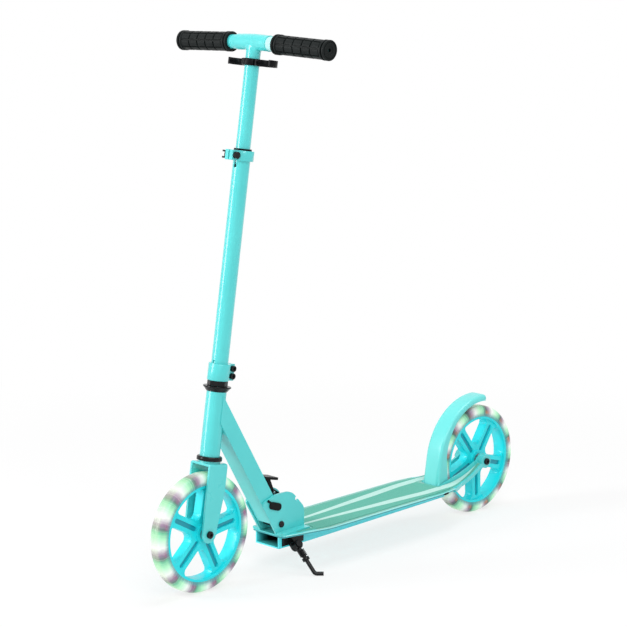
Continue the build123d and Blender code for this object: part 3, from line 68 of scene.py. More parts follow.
# Mesh helpers: the points of every piece are in millimetres
def piece(name, shape, material, body, sharp=35, replaces=()):
    """A mesh piece from points and faces, smooth except at edges sharper than the angle."""
    points, faces = shape
    mesh = bpy.data.meshes.new(name)
    mesh.from_pydata([Vector(p) * MM for p in points], [], faces)
    mesh.validate()
    shell = bmesh.new()
    shell.from_mesh(mesh)
    bmesh.ops.recalc_face_normals(shell, faces=shell.faces)
    if shell.calc_volume(signed=True) < 0:
        bmesh.ops.reverse_faces(shell, faces=shell.faces)
    shell.to_mesh(mesh)
    shell.free()
    mesh.shade_smooth()
    mesh.set_sharp_from_angle(angle=math.radians(sharp))
    mesh.materials.append(material)
    obj = bpy.data.objects.new(name, mesh)
    scene.collection.objects.link(obj)
    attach(obj, body)
    if replaces:
        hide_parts(*replaces)


def axes_along(direction, hint):
    """A direction's unit vector and two square to it, the first as near the hint as it can be."""
    along = Vector(direction).normalized()
    first = (Vector(hint) - along * along.dot(Vector(hint))).normalized()
    return along, first, along.cross(first)


def grid_faces(rows, columns, close_rows, close_columns):
    """Quads over a grid of points kept row by row."""
    faces = []
    for i in range(rows if close_rows else rows - 1):
        for j in range(columns if close_columns else columns - 1):
            near, far = i * columns, (i + 1) % rows * columns
            left, right = j, (j + 1) % columns
            faces.append((near + left, near + right, far + right, far + left))
    return faces


def capped_faces(rows, columns):
    """Quads along a row of closed rings, with a face over each end."""
    last = (rows - 1) * columns
    caps = [tuple(reversed(range(columns))), tuple(range(last, last + columns))]
    return grid_faces(rows, columns, False, True) + caps


def even_angles(count):
    return [2 * math.pi * i / count for i in range(count)]


def revolve(origin, direction, hint, profile, angles, radius_at=None):
    """Turns a closed profile of (station, radius) about an axis; radius_at may carve it."""
    along, first, second = axes_along(direction, hint)
    points = []
    for index, (station, radius) in enumerate(profile):
        for angle in angles:
            r = radius_at(index, radius, angle) if radius_at else radius
            out = first * math.cos(angle) + second * math.sin(angle)
            points.append(origin + along * station + out * r)
    return points, grid_faces(len(profile), len(angles), True, True)


def helix(origin, direction, start, mean_radius, wire_radius, pitch, turns, sides=10, steps=28):
    """A round wire wound along an axis, its two ends capped."""
    along, first, second = axes_along(direction, FORWARD)
    count = turns * steps + 1
    points = []
    for i in range(count):
        turn = i / steps
        angle = 2 * math.pi * turn
        out = first * math.cos(angle) + second * math.sin(angle)
        centre = origin + along * (start + pitch * turn) + out * mean_radius
        for a in even_angles(sides):
            points.append(centre + (out * math.cos(a) + along * math.sin(a)) * wire_radius)
    return points, capped_faces(count, sides)


# Material helpers
class Finish:
    """A material built from nodes in object space, where one unit is a metre."""

    def __init__(self, name, **sockets):
        self.material = bpy.data.materials.new(name)
        self.material.use_nodes = True
        self.tree = self.material.node_tree
        self.surface = self.tree.nodes["Principled BSDF"]
        for socket, value in sockets.items():
            self.surface.inputs[socket.replace("_", " ")].default_value = value
        coordinates = self.tree.nodes.new("ShaderNodeTexCoord")
        self.place = coordinates.outputs["Object"]
        self.normal = coordinates.outputs["Normal"]

    def add(self, kind, values=(), **settings):
        node = self.tree.nodes.new("ShaderNode" + kind)
        for key, value in settings.items():
            setattr(node, key, value)
        for socket, value in dict(values).items():
            self.plug(value, node.inputs[socket])
        return node

    def plug(self, value, socket):
        """Links a node's output to a socket, or writes a plain value there."""
        if isinstance(value, bpy.types.NodeSocket):
            self.tree.links.new(value, socket)
        else:
            socket.default_value = value

    def set(self, socket, value):
        self.plug(value, self.surface.inputs[socket])

    def parts(self, vector):
        """The x, y and z of a place or a normal."""
        return self.add("SeparateXYZ", {0: vector}).outputs

    def maths(self, operation, a, b=0.0):
        return self.add("Math", {0: a, 1: b}, operation=operation).outputs[0]

    def product(self, first, *others):
        for other in others:
            first = self.maths("MULTIPLY", first, other)
        return first

    def minus(self, a, b):
        return self.maths("SUBTRACT", a, b)

    def size(self, value):
        return self.maths("ABSOLUTE", value)

    def spread(self, value, low, high, to_low=0.0, to_high=1.0, smooth=False):
        """Maps a value from one range to another and holds it at the ends."""
        kind = "SMOOTHSTEP" if smooth else "LINEAR"
        values = {"Value": value, "From Min": low, "From Max": high, "To Min": to_low, "To Max": to_high}
        return self.add("MapRange", values, interpolation_type=kind).outputs[0]

    def edge(self, value, start, end):
        """0 at one place and 1 at another, both in millimetres."""
        return self.spread(value, start * MM, end * MM)

    def line(self, value, start, end):
        """The second coordinate, at a place, of a line between two points in millimetres."""
        return self.spread(value, start[0] * MM, end[0] * MM, start[1] * MM, end[1] * MM)

    def noise(self, scale, detail=3.0, roughness=0.5, place=None):
        values = {"Vector": place or self.place, "Scale": scale, "Detail": detail, "Roughness": roughness}
        return self.add("TexNoise", values).outputs["Fac"]

    def ramp(self, value, stops):
        node = self.add("ValToRGB", {"Fac": value})
        elements = node.color_ramp.elements
        while len(elements) < len(stops):
            elements.new(0.5)
        for element, (position, colour) in zip(elements, stops):
            element.position = position
            element.color = (*colour, 1.0)
        return node.outputs["Color"]

    def mix(self, factor, a, b):
        node = self.add("Mix", data_type="RGBA")
        self.plug(factor, node.inputs[0])
        for socket, value in ((6, a), (7, b)):
            self.plug((*value, 1.0) if isinstance(value, tuple) else value, node.inputs[socket])
        return node.outputs[2]

    def bump(self, height, strength, distance):
        node = self.add("Bump", {"Height": height, "Strength": strength, "Distance": distance})
        self.set("Normal", node.outputs["Normal"])

    def drift(self, tones):
        """A slow drift between a light and a dark tone."""
        light, dark = tones
        return self.ramp(self.noise(9.0, 4.0), [(0.35, dark), (0.65, light)])

    def gloss(self, rough, peel):
        """Patchy gloss and a fine orange peel."""
        self.set("Roughness", self.spread(self.noise(60.0, 4.0), 0.3, 0.7, rough - 0.05, rough + 0.07))
        self.bump(self.noise(900.0, 2.0), peel, 0.0001)


def enamel(name, coat, shine=0.3):
    """The start of a gloss paint under a clear coat."""
    return Finish(name, Coat_Weight=coat, Coat_Roughness=0.05, Specular_IOR_Level=shine)


def paint(name, tones, rough, coat, peel, shine=0.3):
    """Gloss paint with a slow drift of tone."""
    finish = enamel(name, coat, shine)
    finish.set("Base Color", finish.drift(tones))
    finish.gloss(rough, peel)
    return finish.material


def moulded(name, tones, rough, grain, scale, shine=0.25):
    """Moulded plastic or rubber with a fine grain and worn, uneven gloss."""
    light, dark = tones
    finish = Finish(name, Specular_IOR_Level=shine)
    finish.set("Base Color", finish.ramp(finish.noise(26.0, 5.0, 0.6), [(0.3, dark), (0.7, light)]))
    finish.set("Roughness", finish.spread(finish.noise(140.0, 5.0), 0.3, 0.7, rough - 0.09, rough + 0.09))
    finish.bump(finish.noise(scale, 3.0, 0.6), grain, 0.0003)
    return finish.material


def metal(name, tones, rough):
    """Bare turned or plated metal with fine drawn lines."""
    light, dark = tones
    finish = Finish(name, Metallic=1.0)
    mapping = finish.add("Mapping", {"Vector": finish.place, "Scale": (1.0, 6.0, 1.0)})
    lines = finish.noise(300.0, 4.0, 0.6, mapping.outputs["Vector"])
    finish.set("Base Color", finish.ramp(lines, [(0.3, dark), (0.7, light)]))
    finish.set("Roughness", finish.spread(lines, 0.3, 0.7, rough - 0.06, rough + 0.08))
    finish.bump(lines, 0.08, 0.0002)
    return finish.material


# Light and dark tones, then the plain finishes made from them
AQUA_ALLOY = ((0.088, 0.650, 0.650), (0.072, 0.610, 0.615))
AQUA_STEEL = ((0.086, 0.655, 0.655), (0.068, 0.610, 0.615))
# Pale tones for the grip tubes: a painted highlight
HIGHLIGHT_PALE_STEEL = ((0.48, 0.87, 0.86), (0.42, 0.83, 0.82))
# Paler tones for the deck's bead: a painted highlight
RIM_HIGHLIGHT = ((0.330, 0.840, 0.815), (0.280, 0.800, 0.780))
FENDER_AQUA = ((0.165, 0.730, 0.710), (0.140, 0.690, 0.675))
STEEL_BLACK = ((0.008, 0.009, 0.010), (0.003, 0.003, 0.004))
PLASTIC_BLACK = ((0.008, 0.008, 0.009), (0.003, 0.003, 0.004))
GRIP_BLACK = ((0.009, 0.012, 0.012), (0.004, 0.006, 0.006))
PAD_BLACK = ((0.024, 0.024, 0.025), (0.012, 0.012, 0.013))
MODULE_WHITE = ((0.80, 0.82, 0.80), (0.66, 0.69, 0.67))
DULL_GREY = ((0.34, 0.46, 0.48), (0.24, 0.36, 0.38))
BRIGHT_GREY = ((0.72, 0.73, 0.74), (0.52, 0.53, 0.55))

aqua_alloy = paint("aqua_alloy", AQUA_ALLOY, rough=0.34, coat=0.6, peel=0.10)
aqua_steel = paint("aqua_steel", AQUA_STEEL, rough=0.30, coat=0.8, peel=0.03)
rim_highlight_paint = paint("rim_highlight_paint", RIM_HIGHLIGHT, rough=0.34, coat=0.6, peel=0.10)
fender_plastic = paint("fender_plastic", FENDER_AQUA, rough=0.40, coat=0.4, peel=0.15)
black_steel = paint("black_steel", STEEL_BLACK, rough=0.24, coat=0.20, peel=0.08, shine=0.11)
black_plastic = moulded("black_plastic", PLASTIC_BLACK, rough=0.32, grain=0.20, scale=1500.0, shine=0.10)
grip_rubber = moulded("grip_rubber", GRIP_BLACK, rough=0.46, grain=0.30, scale=1700.0, shine=0.12)
pad_rubber = moulded("pad_rubber", PAD_BLACK, rough=0.80, grain=0.40, scale=1200.0)
light_module = moulded("light_modules", MODULE_WHITE, rough=0.40, grain=0.15, scale=1500.0)
dull_steel = metal("dull_steel", DULL_GREY, rough=0.50)
bright_steel = metal("bright_steel", BRIGHT_GREY, rough=0.26)


def tube_highlight_finish():
    """Grip tubes painted pale as a painted highlight, and aqua like the bar where the right one enters its sleeve.
    """
    finish = enamel("tube_highlight_paint", coat=0.6)
    _, y, _ = finish.parts(finish.place)
    painted = finish.product(finish.edge(y, -56.0, -55.5), finish.edge(y, -30.0, -30.5))
    finish.set("Base Color", finish.mix(painted, finish.drift(HIGHLIGHT_PALE_STEEL), finish.drift(AQUA_STEEL)))
    finish.gloss(rough=0.30, peel=0.03)
    return finish.material


tube_highlight_paint = tube_highlight_finish()

# Deck: its top rises towards the rear, and the floor line runs inside the thickness of the beam's floor
DECK_TOP = 70.4
DECK_RISE = math.tan(math.radians(0.75))
DECK_REACH = 300.0
BEAM_FLOOR_FRONT = (118.0, 44.8)
BEAM_FLOOR_REAR = (-232.0, 53.8)
# Near-black for the inside of the box section: painted shade
INSIDE_SHADE = (0.008, 0.022, 0.022)
# Brighter cyan for the side faces: painted light
BEAM_SIDE_LIGHT = (0.095, 0.800, 0.880)
# Dark tone for the side faces just under the deck's rim: painted shadow
RIM_SHADOW_TONE = (0.030, 0.330, 0.380)
TOP_MARGIN = (0.110, 0.440, 0.360)


def deck_height(x):
    return DECK_TOP - x * DECK_RISE


def beam_finish():
    """Painted outside, with a brighter cyan on the side faces as painted light; painted shadow under the deck's
    rim, and painted shade inside the box section, darkening from the open front end inwards.
    """
    finish = enamel("beam_paint", coat=0.6)
    x, y, z = finish.parts(finish.place)
    _, _, facing = finish.parts(finish.normal)
    front = (DECK_REACH, deck_height(DECK_REACH))
    rear = (-DECK_REACH, deck_height(-DECK_REACH))
    drop = finish.minus(finish.line(x, front, rear), z)
    upright = finish.spread(finish.size(facing), 0.5, 0.3)
    # Side faces well below the deck's top: a brighter cyan, painted light
    side = finish.product(upright, finish.edge(drop, 4.5, 6.0))
    tone = finish.mix(side, finish.drift(AQUA_ALLOY), BEAM_SIDE_LIGHT)
    # Painted shadow on the side faces just under the deck's rim
    rim_shadow = finish.product(upright, finish.edge(drop, 1.2, 1.6), finish.edge(drop, 4.2, 3.0))
    tone = finish.mix(rim_shadow, tone, RIM_SHADOW_TONE)
    level = finish.product(finish.spread(facing, 0.8, 0.95), finish.edge(drop, 1.2, 0.8))
    margin = finish.product(level, finish.edge(x, 125.0, 115.0))
    tone = finish.mix(margin, tone, TOP_MARGIN)
    # Painted shade inside the box section, darkening from the open front end inwards
    within = finish.edge(finish.size(y), 26.2, 26.0)
    behind = finish.edge(x, 187.0, 161.0)
    above = finish.edge(finish.minus(z, finish.line(x, BEAM_FLOOR_FRONT, BEAM_FLOOR_REAR)), 0.0, 0.4)
    under = finish.edge(z, 69.0, 68.6)
    finish.set("Base Color", finish.mix(finish.product(within, behind, above, under), tone, INSIDE_SHADE))
    finish.gloss(rough=0.34, peel=0.10)
    return finish.material


beam_paint = beam_finish()

# Hubs
HUB_DARK = (0.010, 0.700, 0.765)
HUB_LIGHT = (0.016, 0.770, 0.830)
# Paler tone for rounded edges: a painted highlight
HUB_EDGE_HIGHLIGHT = (0.22, 0.90, 0.93)
# Dark tone for the spoke grooves: painted shade
HUB_GROOVE_SHADE = (0.006, 0.330, 0.420)


def hub_finish():
    """Saturated cyan hub, with painted shade in the spoke grooves and a painted highlight on rounded edges."""
    finish = Finish("hub_plastic", Coat_Weight=0.2, Coat_Roughness=0.1, Specular_IOR_Level=0.3)
    _, y, _ = finish.parts(finish.place)
    _, sideways, _ = finish.parts(finish.normal)
    facing = finish.size(sideways)
    tone = finish.ramp(finish.noise(22.0, 4.0), [(0.3, HUB_DARK), (0.7, HUB_LIGHT)])
    # Painted highlight on the rounded edges
    edge = finish.product(finish.spread(facing, 0.25, 0.45), finish.spread(facing, 0.995, 0.95), 0.8)
    tone = finish.mix(edge, tone, HUB_EDGE_HIGHLIGHT)
    # Painted shade on the floors of the spoke grooves
    groove_shade = finish.product(finish.edge(finish.size(y), 7.6, 6.2), finish.spread(facing, 0.5, 0.8))
    finish.set("Base Color", finish.mix(groove_shade, tone, HUB_GROOVE_SHADE))
    finish.set("Roughness", finish.spread(finish.noise(90.0, 4.0), 0.3, 0.7, 0.30, 0.42))
    finish.bump(finish.noise(900.0, 2.0), 0.06, 0.0003)
    return finish.material


hub_plastic = hub_finish()

# Tyres
TYRE_RADIUS = 100.0
TYRE_HALF = 14.5
TYRE_BORE = 80.6
TREAD_ROUND = 11.0
TREAD_STEPS = 12
SIDE_LINE = 0.3
LIGHTS = 12
FIRST_LIGHT = 9.45
LIGHT_WAVER = 0.08
TYRE_DUSK = (0.035, 0.055, 0.060)
TYRE_INNER = (0.052, 0.285, 0.310)
TYRE_OUTER = (0.42, 0.58, 0.32)
# Pale streaks in the painted glow
TYRE_GLOW_STREAK = (0.80, 0.86, 0.76)

# Painted glow of one lamp round the tyre: a dusky gap, a mauve edge, a near-white centre, then two greens
PAINTED_GLOW = [
    (0.00, (0.15, 0.20, 0.20)),
    (0.15, (0.30, 0.20, 0.30)),
    (0.40, (0.80, 0.85, 0.80)),
    (0.65, (0.45, 0.85, 0.55)),
    (0.90, (0.15, 0.50, 0.30)),
    (1.00, (0.15, 0.20, 0.20)),
]


def tyre_finish(name, axle, shift, warm, dusk):
    """Milky clear tyre with the glow of its lamps inside painted into its colour and a weak emission, and a teal
    inner edge next to the hub.
    """
    finish = Finish(name, Coat_Weight=0.15, Coat_Roughness=0.06, Specular_IOR_Level=0.25)
    x, _, z = finish.parts(finish.place)
    ahead = finish.minus(x, axle.x * MM)
    above = finish.minus(z, axle.z * MM)
    cloud = finish.noise(70.0, 4.0, 0.6)
    first = FIRST_LIGHT + shift
    turn = finish.product(finish.maths("ARCTAN2", above, ahead), LIGHTS / (2 * math.pi))
    turn = finish.maths("ADD", turn, finish.spread(cloud, 0.2, 0.8, first, first + LIGHT_WAVER))
    number = finish.maths("FLOOR", turn)
    part = finish.maths("FRACT", turn)
    squares = finish.maths("ADD", finish.product(ahead, ahead), finish.product(above, above))
    depth = finish.edge(finish.maths("SQRT", squares), TYRE_BORE, TYRE_RADIUS)
    between = finish.spread(finish.size(finish.minus(part, 0.5)), 0.34, 0.5, 0.0, dusk, True)
    colour = finish.mix(between, finish.ramp(part, PAINTED_GLOW), TYRE_DUSK)
    mood = finish.add("TexWhiteNoise", {"W": number}, noise_dimensions="1D").outputs["Value"]
    gap = finish.spread(part, 0.32, 0.06, smooth=True)
    middle = finish.spread(finish.size(finish.minus(depth, 0.34)), 0.36, 0.0, smooth=True)
    blush = finish.product(gap, middle, finish.spread(mood, 0.0, 1.0, 0.2, 0.95))
    colour = finish.mix(blush, colour, warm)
    colour = finish.mix(finish.spread(depth, 0.02, 0.50, 0.85, 0.0, True), colour, TYRE_INNER)
    colour = finish.mix(finish.spread(depth, 0.88, 1.0, 0.0, 0.32, True), colour, TYRE_OUTER)
    values = {"W": finish.product(turn, 22.0), "Scale": 1.0, "Detail": 2.0}
    streaks = finish.add("TexNoise", values, noise_dimensions="1D").outputs["Fac"]
    colour = finish.mix(finish.spread(streaks, 0.50, 0.75, 0.0, 0.20), colour, TYRE_GLOW_STREAK)
    finish.set("Base Color", colour)
    # The painted glow also shines as a weak emission
    finish.set("Emission Color", colour)
    finish.set("Emission Strength", 0.20)
    finish.set("Roughness", finish.spread(cloud, 0.3, 0.7, 0.18, 0.34))
    finish.bump(finish.noise(240.0, 3.0), 0.10, 0.0003)
    return finish.material


def tyre_profile():
    """Rounded tread, a parting line round the middle and a moulded line on each side wall."""
    shoulder = TYRE_HALF - TREAD_ROUND
    half = [(0.0, TYRE_RADIUS), (0.5, TYRE_RADIUS)]
    half += [(0.9, TYRE_RADIUS - 0.25), (shoulder, TYRE_RADIUS - 0.15)]
    centre = TYRE_RADIUS - TREAD_ROUND
    for step in range(1, TREAD_STEPS + 1):
        a = math.radians(90 - step * 90 / TREAD_STEPS)
        half.append((shoulder + TREAD_ROUND * math.cos(a), centre + TREAD_ROUND * math.sin(a)))
    proud = TYRE_HALF + SIDE_LINE
    half += [(TYRE_HALF, 87.0), (proud, 86.5), (proud, 85.9), (TYRE_HALF, 85.4), (TYRE_HALF, 82.0)]
    half += [(TYRE_HALF - 0.8, TYRE_BORE), (6.0, TYRE_BORE)]
    return half + [(-s, r) for s, r in reversed(half[1:])]


front_rubber = tyre_finish("front_clear_tyre", FRONT_AXLE, 0.0, (0.30, 0.09, 0.19), 0.15)
rear_rubber = tyre_finish("rear_clear_tyre", REAR_AXLE, 0.12, (0.50, 0.17, 0.05), 0.65)
for end, axle, rubber in (("front", FRONT_AXLE, front_rubber), ("rear", REAR_AXLE, rear_rubber)):
    shape = revolve(axle, ACROSS, FORWARD, tyre_profile(), even_angles(180))
    piece(f"{end}_tyre_lit", shape, rubber, f"{end}_wheel", 50, (f"{end}_tyre",))

# Handlebar grips: blocks cut by grooves, double flanges and an end cap with a ring
BAR_STATION = 900.865
BAR_CENTRE = STEM_FOOT + STEM_UP * BAR_STATION
GRIP_START = 52.0
GRIP_END = 170.0
GRIP_RADIUS = 16.5
GRIP_BODY = 15.7
GRIP_BORE = 11.75
FLANGE_STEP = 6.5
NECK_RADIUS = 13.6
GROOVE_DEPTH = 1.7
GROOVE_HALF = 0.9
GROOVE_WALL = 0.45
BLOCKS = 5
ROWS = 8
ROW_TURN = 2 * math.pi / ROWS
GROOVE_TURN = GROOVE_HALF / GRIP_BODY
ROUNDING = 1e-6


def grip_profile():
    """Stations and radii of a grip, and the range of those that the long grooves cut."""
    flange = [(0.0, GRIP_RADIUS - 0.5), (0.6, GRIP_RADIUS), (3.2, GRIP_RADIUS), (3.9, GRIP_RADIUS - 0.8)]
    start = [(GRIP_START + s, r) for s, r in flange + [(4.1, NECK_RADIUS), (6.3, NECK_RADIUS)]]
    start += [(GRIP_START + FLANGE_STEP + s, r) for s, r in flange]
    end = [(GRIP_START + GRIP_END - s, r) for s, r in reversed(start)]
    pitch = (end[0][0] - start[-1][0]) / BLOCKS
    rise = GROOVE_HALF + GROOVE_WALL
    body = []
    for block in range(BLOCKS):
        low = start[-1][0] + pitch * block
        high = low + pitch
        body += [(low + GROOVE_HALF, GRIP_BODY - GROOVE_DEPTH), (low + rise, GRIP_BODY - 0.12)]
        body += [(low + pitch * share, GRIP_BODY) for share in (0.2, 0.5, 0.8)]
        body += [(high - rise, GRIP_BODY - 0.12), (high - GROOVE_HALF, GRIP_BODY - GROOVE_DEPTH)]
    ring = [(0.0, NECK_RADIUS), (0.7, 13.3), (0.7, 12.5), (0.0, 12.2), (0.0, 7.2)]
    vent = [(0.5, 6.9), (0.5, 3.6), (1.0, 3.0), (5.0, 3.0), (5.0, GRIP_BORE)]
    cap = [(GRIP_END - s, r) for s, r in ring + vent] + [(GRIP_START, GRIP_BORE)]
    return start + body + end + cap, range(len(start), len(start) + len(body))


def grip_angles():
    """Angles round a grip: close together at the edges of each long groove."""
    edge = (GROOVE_HALF + GROOVE_WALL) / GRIP_BODY
    block = [edge + (ROW_TURN - 2 * edge) * k / 7 for k in range(8)]
    return [ROW_TURN * row + turn for row in range(ROWS) for turn in [-GROOVE_TURN, GROOVE_TURN] + block]


def grip(way):
    """A grip along one half of the bar, its long grooves cut between the flanges only."""
    profile, carved = grip_profile()

    def radius_at(index, radius, angle):
        near = abs((angle + ROW_TURN / 2) % ROW_TURN - ROW_TURN / 2)
        if index in carved and near <= GROOVE_TURN + ROUNDING:
            return GRIP_BODY - GROOVE_DEPTH
        return radius

    return revolve(BAR_CENTRE, way, STEM_UP, profile, grip_angles(), radius_at)


for name, _ in SIDES:
    body = f"grip_{name}"
    piece(f"{body}_blocks", grip(joint_axis(f"{body}_pull")), grip_rubber, body, 32, (body,))

# Springs
KICK_PIVOT = joint_place("kickstand_swing")
KICK_HEEL = Vector((149.5, 75.5, 3.5))
BRAKE_PIN = joint_place("brake_press")
leg = KICK_HEEL - KICK_PIVOT
coil = helix(KICK_PIVOT, leg, start=9.6, mean_radius=5.4, wire_radius=1.1, pitch=2.6, turns=5)
piece("kickstand_spring_coil", coil, black_steel, "kickstand", 60, ("kickstand_spring",))
coil = helix(BRAKE_PIN, ACROSS, start=-7.2, mean_radius=3.8, wire_radius=0.7, pitch=2.4, turns=6)
piece("brake_spring_coil", coil, bright_steel, "deck", 60, ("brake_spring",))

# Grip tape: points in plan on each stripe's middle line, and its half width where it widens and closes
STRIPE_FRONT = 110.0
STRIPE_REAR = -330.0
STRIPE_REACH = 50.0
STRIPE_LINE = [
    (110.0, 12.0),
    (44.0, 16.0),
    (0.0, 19.5),
    (-50.0, 23.5),
    (-100.0, 27.0),
    (-170.0, 33.5),
    (-235.0, 33.5),
    (-325.0, 24.0),
]
STRIPE_WIDENING = ((110.0, 3.2), (-88.0, 8.2))
STRIPE_CLOSING = ((-235.0, 8.4), (-325.0, 0.0))


def tape_finish():
    """Gritty green-teal with two pale stripes that spread towards the rear."""
    finish = Finish("tape", IOR=1.45, Specular_IOR_Level=0.3)
    x, y, _ = finish.parts(finish.place)
    back = finish.edge(x, STRIPE_FRONT, STRIPE_REAR)
    stops = []
    for along, side in STRIPE_LINE:
        share = side / STRIPE_REACH
        stops.append(((STRIPE_FRONT - along) / (STRIPE_FRONT - STRIPE_REAR), (share, share, share)))
    middle = finish.product(finish.ramp(back, stops), STRIPE_REACH * MM)
    away = finish.size(finish.minus(finish.size(y), middle))
    half = finish.maths("MINIMUM", finish.line(x, *STRIPE_WIDENING), finish.line(x, *STRIPE_CLOSING))
    stripe = finish.edge(finish.minus(away, half), 0.4, -0.4)
    grit = finish.noise(1500.0, 3.0, 0.7)
    ground = finish.ramp(grit, [(0.36, (0.090, 0.380, 0.300)), (0.62, (0.150, 0.500, 0.400))])
    pale = finish.ramp(grit, [(0.36, (0.44, 0.71, 0.65)), (0.62, (0.55, 0.81, 0.75))])
    finish.set("Base Color", finish.mix(stripe, ground, pale))
    finish.set("Roughness", finish.spread(grit, 0.3, 0.7, 0.95, 0.72))
    finish.bump(grit, 0.55, 0.0006)
    return finish.material


tape = tape_finish()

# Rear arm tops: an arc in side view, given by its centre and radius, and an outline in plan
ARM_CENTRE = (-232.1, 271.983)
ARM_TOP = 198.546
ARM_START = (-232.1, 54.0)
ARM_WAIST = (-264.0, 41.5)
ARM_TIP = (-328.5, 33.0)
TAPE_MARGIN = 7.5
MARGIN_SLOPE = 0.22
ARM_TAPE_MARGIN = 3.0
ARM_TAPE_INNER = 24.0
ARM_TAPE_START = -224.4
ARM_TAPE_END = -327.0
ARM_TAPE_LIFTS = (-0.2, 0.8)
ARM_TAPE_BEVEL = 0.5
ARM_TAPE_SECTIONS = 34


def on_line(start, end, x):
    """The second coordinate, at x, of a line through two points."""
    return start[1] + (x - start[0]) / (end[0] - start[0]) * (end[1] - start[1])


def arm_outer(x):
    """Outer edge of an arm, in plan: a quick narrowing to the waist, then a slow one to the tip."""
    if x > ARM_WAIST[0]:
        return on_line(ARM_START, ARM_WAIST, x)
    return max(ARM_TIP[1], on_line(ARM_WAIST, ARM_TIP, x))


def arm_top(x, lift):
    """Place in side view of a point above an arm, or above the deck ahead of it."""
    if x > ARM_CENTRE[0]:
        return x, deck_height(x) + lift
    lean = math.asin((ARM_CENTRE[0] - x) / ARM_TOP)
    reach = ARM_TOP - lift
    return ARM_CENTRE[0] - reach * math.sin(lean), ARM_CENTRE[1] - reach * math.cos(lean)


def arm_tape(hand):
    """Tape on an arm's top: it starts in line with the deck's tape, then nears the arm's outer edge."""
    low, high = ARM_TAPE_LIFTS
    inner = ARM_TAPE_INNER
    points = []
    for i in range(ARM_TAPE_SECTIONS + 1):
        x = ARM_TAPE_START + (ARM_TAPE_END - ARM_TAPE_START) * i / ARM_TAPE_SECTIONS
        margin = TAPE_MARGIN + MARGIN_SLOPE * (x - ARM_CENTRE[0])
        outer = arm_outer(x) - max(ARM_TAPE_MARGIN, margin)
        top = ((inner + ARM_TAPE_BEVEL, high), (outer - ARM_TAPE_BEVEL, high))
        for side, lift in ((inner, low), *top, (outer, low)):
            along, up = arm_top(x, lift)
            points.append((along, hand * side, up))
    return points, capped_faces(ARM_TAPE_SECTIONS + 1, 4)


# Arm lips: the crest's curve is a start height with its first and second order rise
LUG_RADIUS = 12.5
LUG_SINK = 0.6
LIP_RISE = 1.0
LIP_INNER = 20.2
LIP_OUTER = 23.4
LIP_BEVEL = 0.6
LIP_SINK = -0.4
LIP_START = -226.0
LIP_FOOT_END = -331.0
LIP_LINE = (76.0, 0.14, 0.0014)
LIP_TANGENT = 45.0
LIP_END = 205.0
LIP_SECTIONS = 30
LIP_EASE = 5
LIP_ROUND_SECTIONS = 24


def lug_point(radius, degrees):
    """A point round the rear axle, in side view."""
    angle = math.radians(degrees)
    return REAR_AXLE.x + radius * math.cos(angle), REAR_AXLE.z + radius * math.sin(angle)


def arm_lip(hand):
    """A raised lip along an arm's inner edge: it rises to the round end at the axle and follows it."""
    reach = LUG_RADIUS + LIP_RISE
    meet, crest = lug_point(reach, LIP_TANGENT)
    line = []
    for i in range(LIP_SECTIONS):
        x = LIP_START + (meet - LIP_START) * i / LIP_SECTIONS
        run = LIP_START - x
        foot = arm_top(max(x, LIP_FOOT_END), LIP_SINK)[1]
        curve = LIP_LINE[0] + LIP_LINE[1] * run + LIP_LINE[2] * run * run
        tall = max(curve, crest - (x - meet) / math.tan(math.radians(LIP_TANGENT))) - foot
        grown = min(1.0, (i + 1) / LIP_EASE)
        line.append(((x, foot), (x, foot + LIP_BEVEL + (tall - LIP_BEVEL) * grown)))
    for i in range(LIP_ROUND_SECTIONS + 1):
        degrees = LIP_TANGENT + (LIP_END - LIP_TANGENT) * i / LIP_ROUND_SECTIONS
        line.append((lug_point(LUG_RADIUS - LUG_SINK, degrees), lug_point(reach, degrees)))
    points = []
    for low, high in line:
        points += [(low[0], hand * LIP_INNER, low[1]), (high[0], hand * (LIP_INNER + LIP_BEVEL), high[1])]
        points += [(high[0], hand * (LIP_OUTER - LIP_BEVEL), high[1]), (low[0], hand * LIP_OUTER, low[1])]
    return points, capped_faces(len(line), 4)


for name, hand in SIDES:
    piece(f"arm_tape_{name}", arm_tape(hand), tape, "deck")
    piece(f"arm_lip_{name}", arm_lip(hand), aqua_steel, "deck", 50)

# Deck edge: a rolled bead along each side, painted paler as a painted highlight, and a black plug near each rear
# corner
DECK_EDGE = [(182.0, 38.4), (101.8, 57.4), (95.2, 58.6), (88.0, 59.0), (-195.0, 59.0), (-231.5, 54.1)]
BEAD = [(-0.6, 0.1), (0.4, 0.15), (1.0, -0.2), (1.2, -0.7), (0.9, -1.2), (-0.6, -1.4)]
PLUG_MIDDLE = Vector((-201.5, 58.12, 70.7))
PLUG_HALF = 7.0
PLUG_TALL = 1.9
PLUG_TAPER = 0.135
PLUG_RINGS = ((1.0, -0.6), (1.0, 1.2), (0.7, 1.7))
PLUG_SIDES = 24


def deck_bead(hand):
    """A bead of one section along the deck's outline."""
    points = []
    for x, y in DECK_EDGE:
        points += [(x, hand * (y + out), deck_height(x) + up) for out, up in BEAD]
    return points, capped_faces(len(DECK_EDGE), len(BEAD))


def deck_plug(hand):
    """A domed plug with rounded ends, in line with the deck's tapered edge."""
    points = []
    for share, out in PLUG_RINGS:
        for angle in even_angles(PLUG_SIDES):
            c, s = math.cos(angle), math.sin(angle)
            along = math.copysign(PLUG_HALF - PLUG_TALL, c) + PLUG_TALL * c * share
            place = PLUG_MIDDLE + Vector((along, along * PLUG_TAPER + out, PLUG_TALL * s * share))
            points.append((place.x, hand * place.y, place.z))
    return points, capped_faces(len(PLUG_RINGS), PLUG_SIDES)


for name, hand in SIDES:
    piece(f"deck_bead_{name}", deck_bead(hand), rim_highlight_paint, "deck", 60)
    piece(f"deck_plug_{name}", deck_plug(hand), black_plastic, "deck", 40)

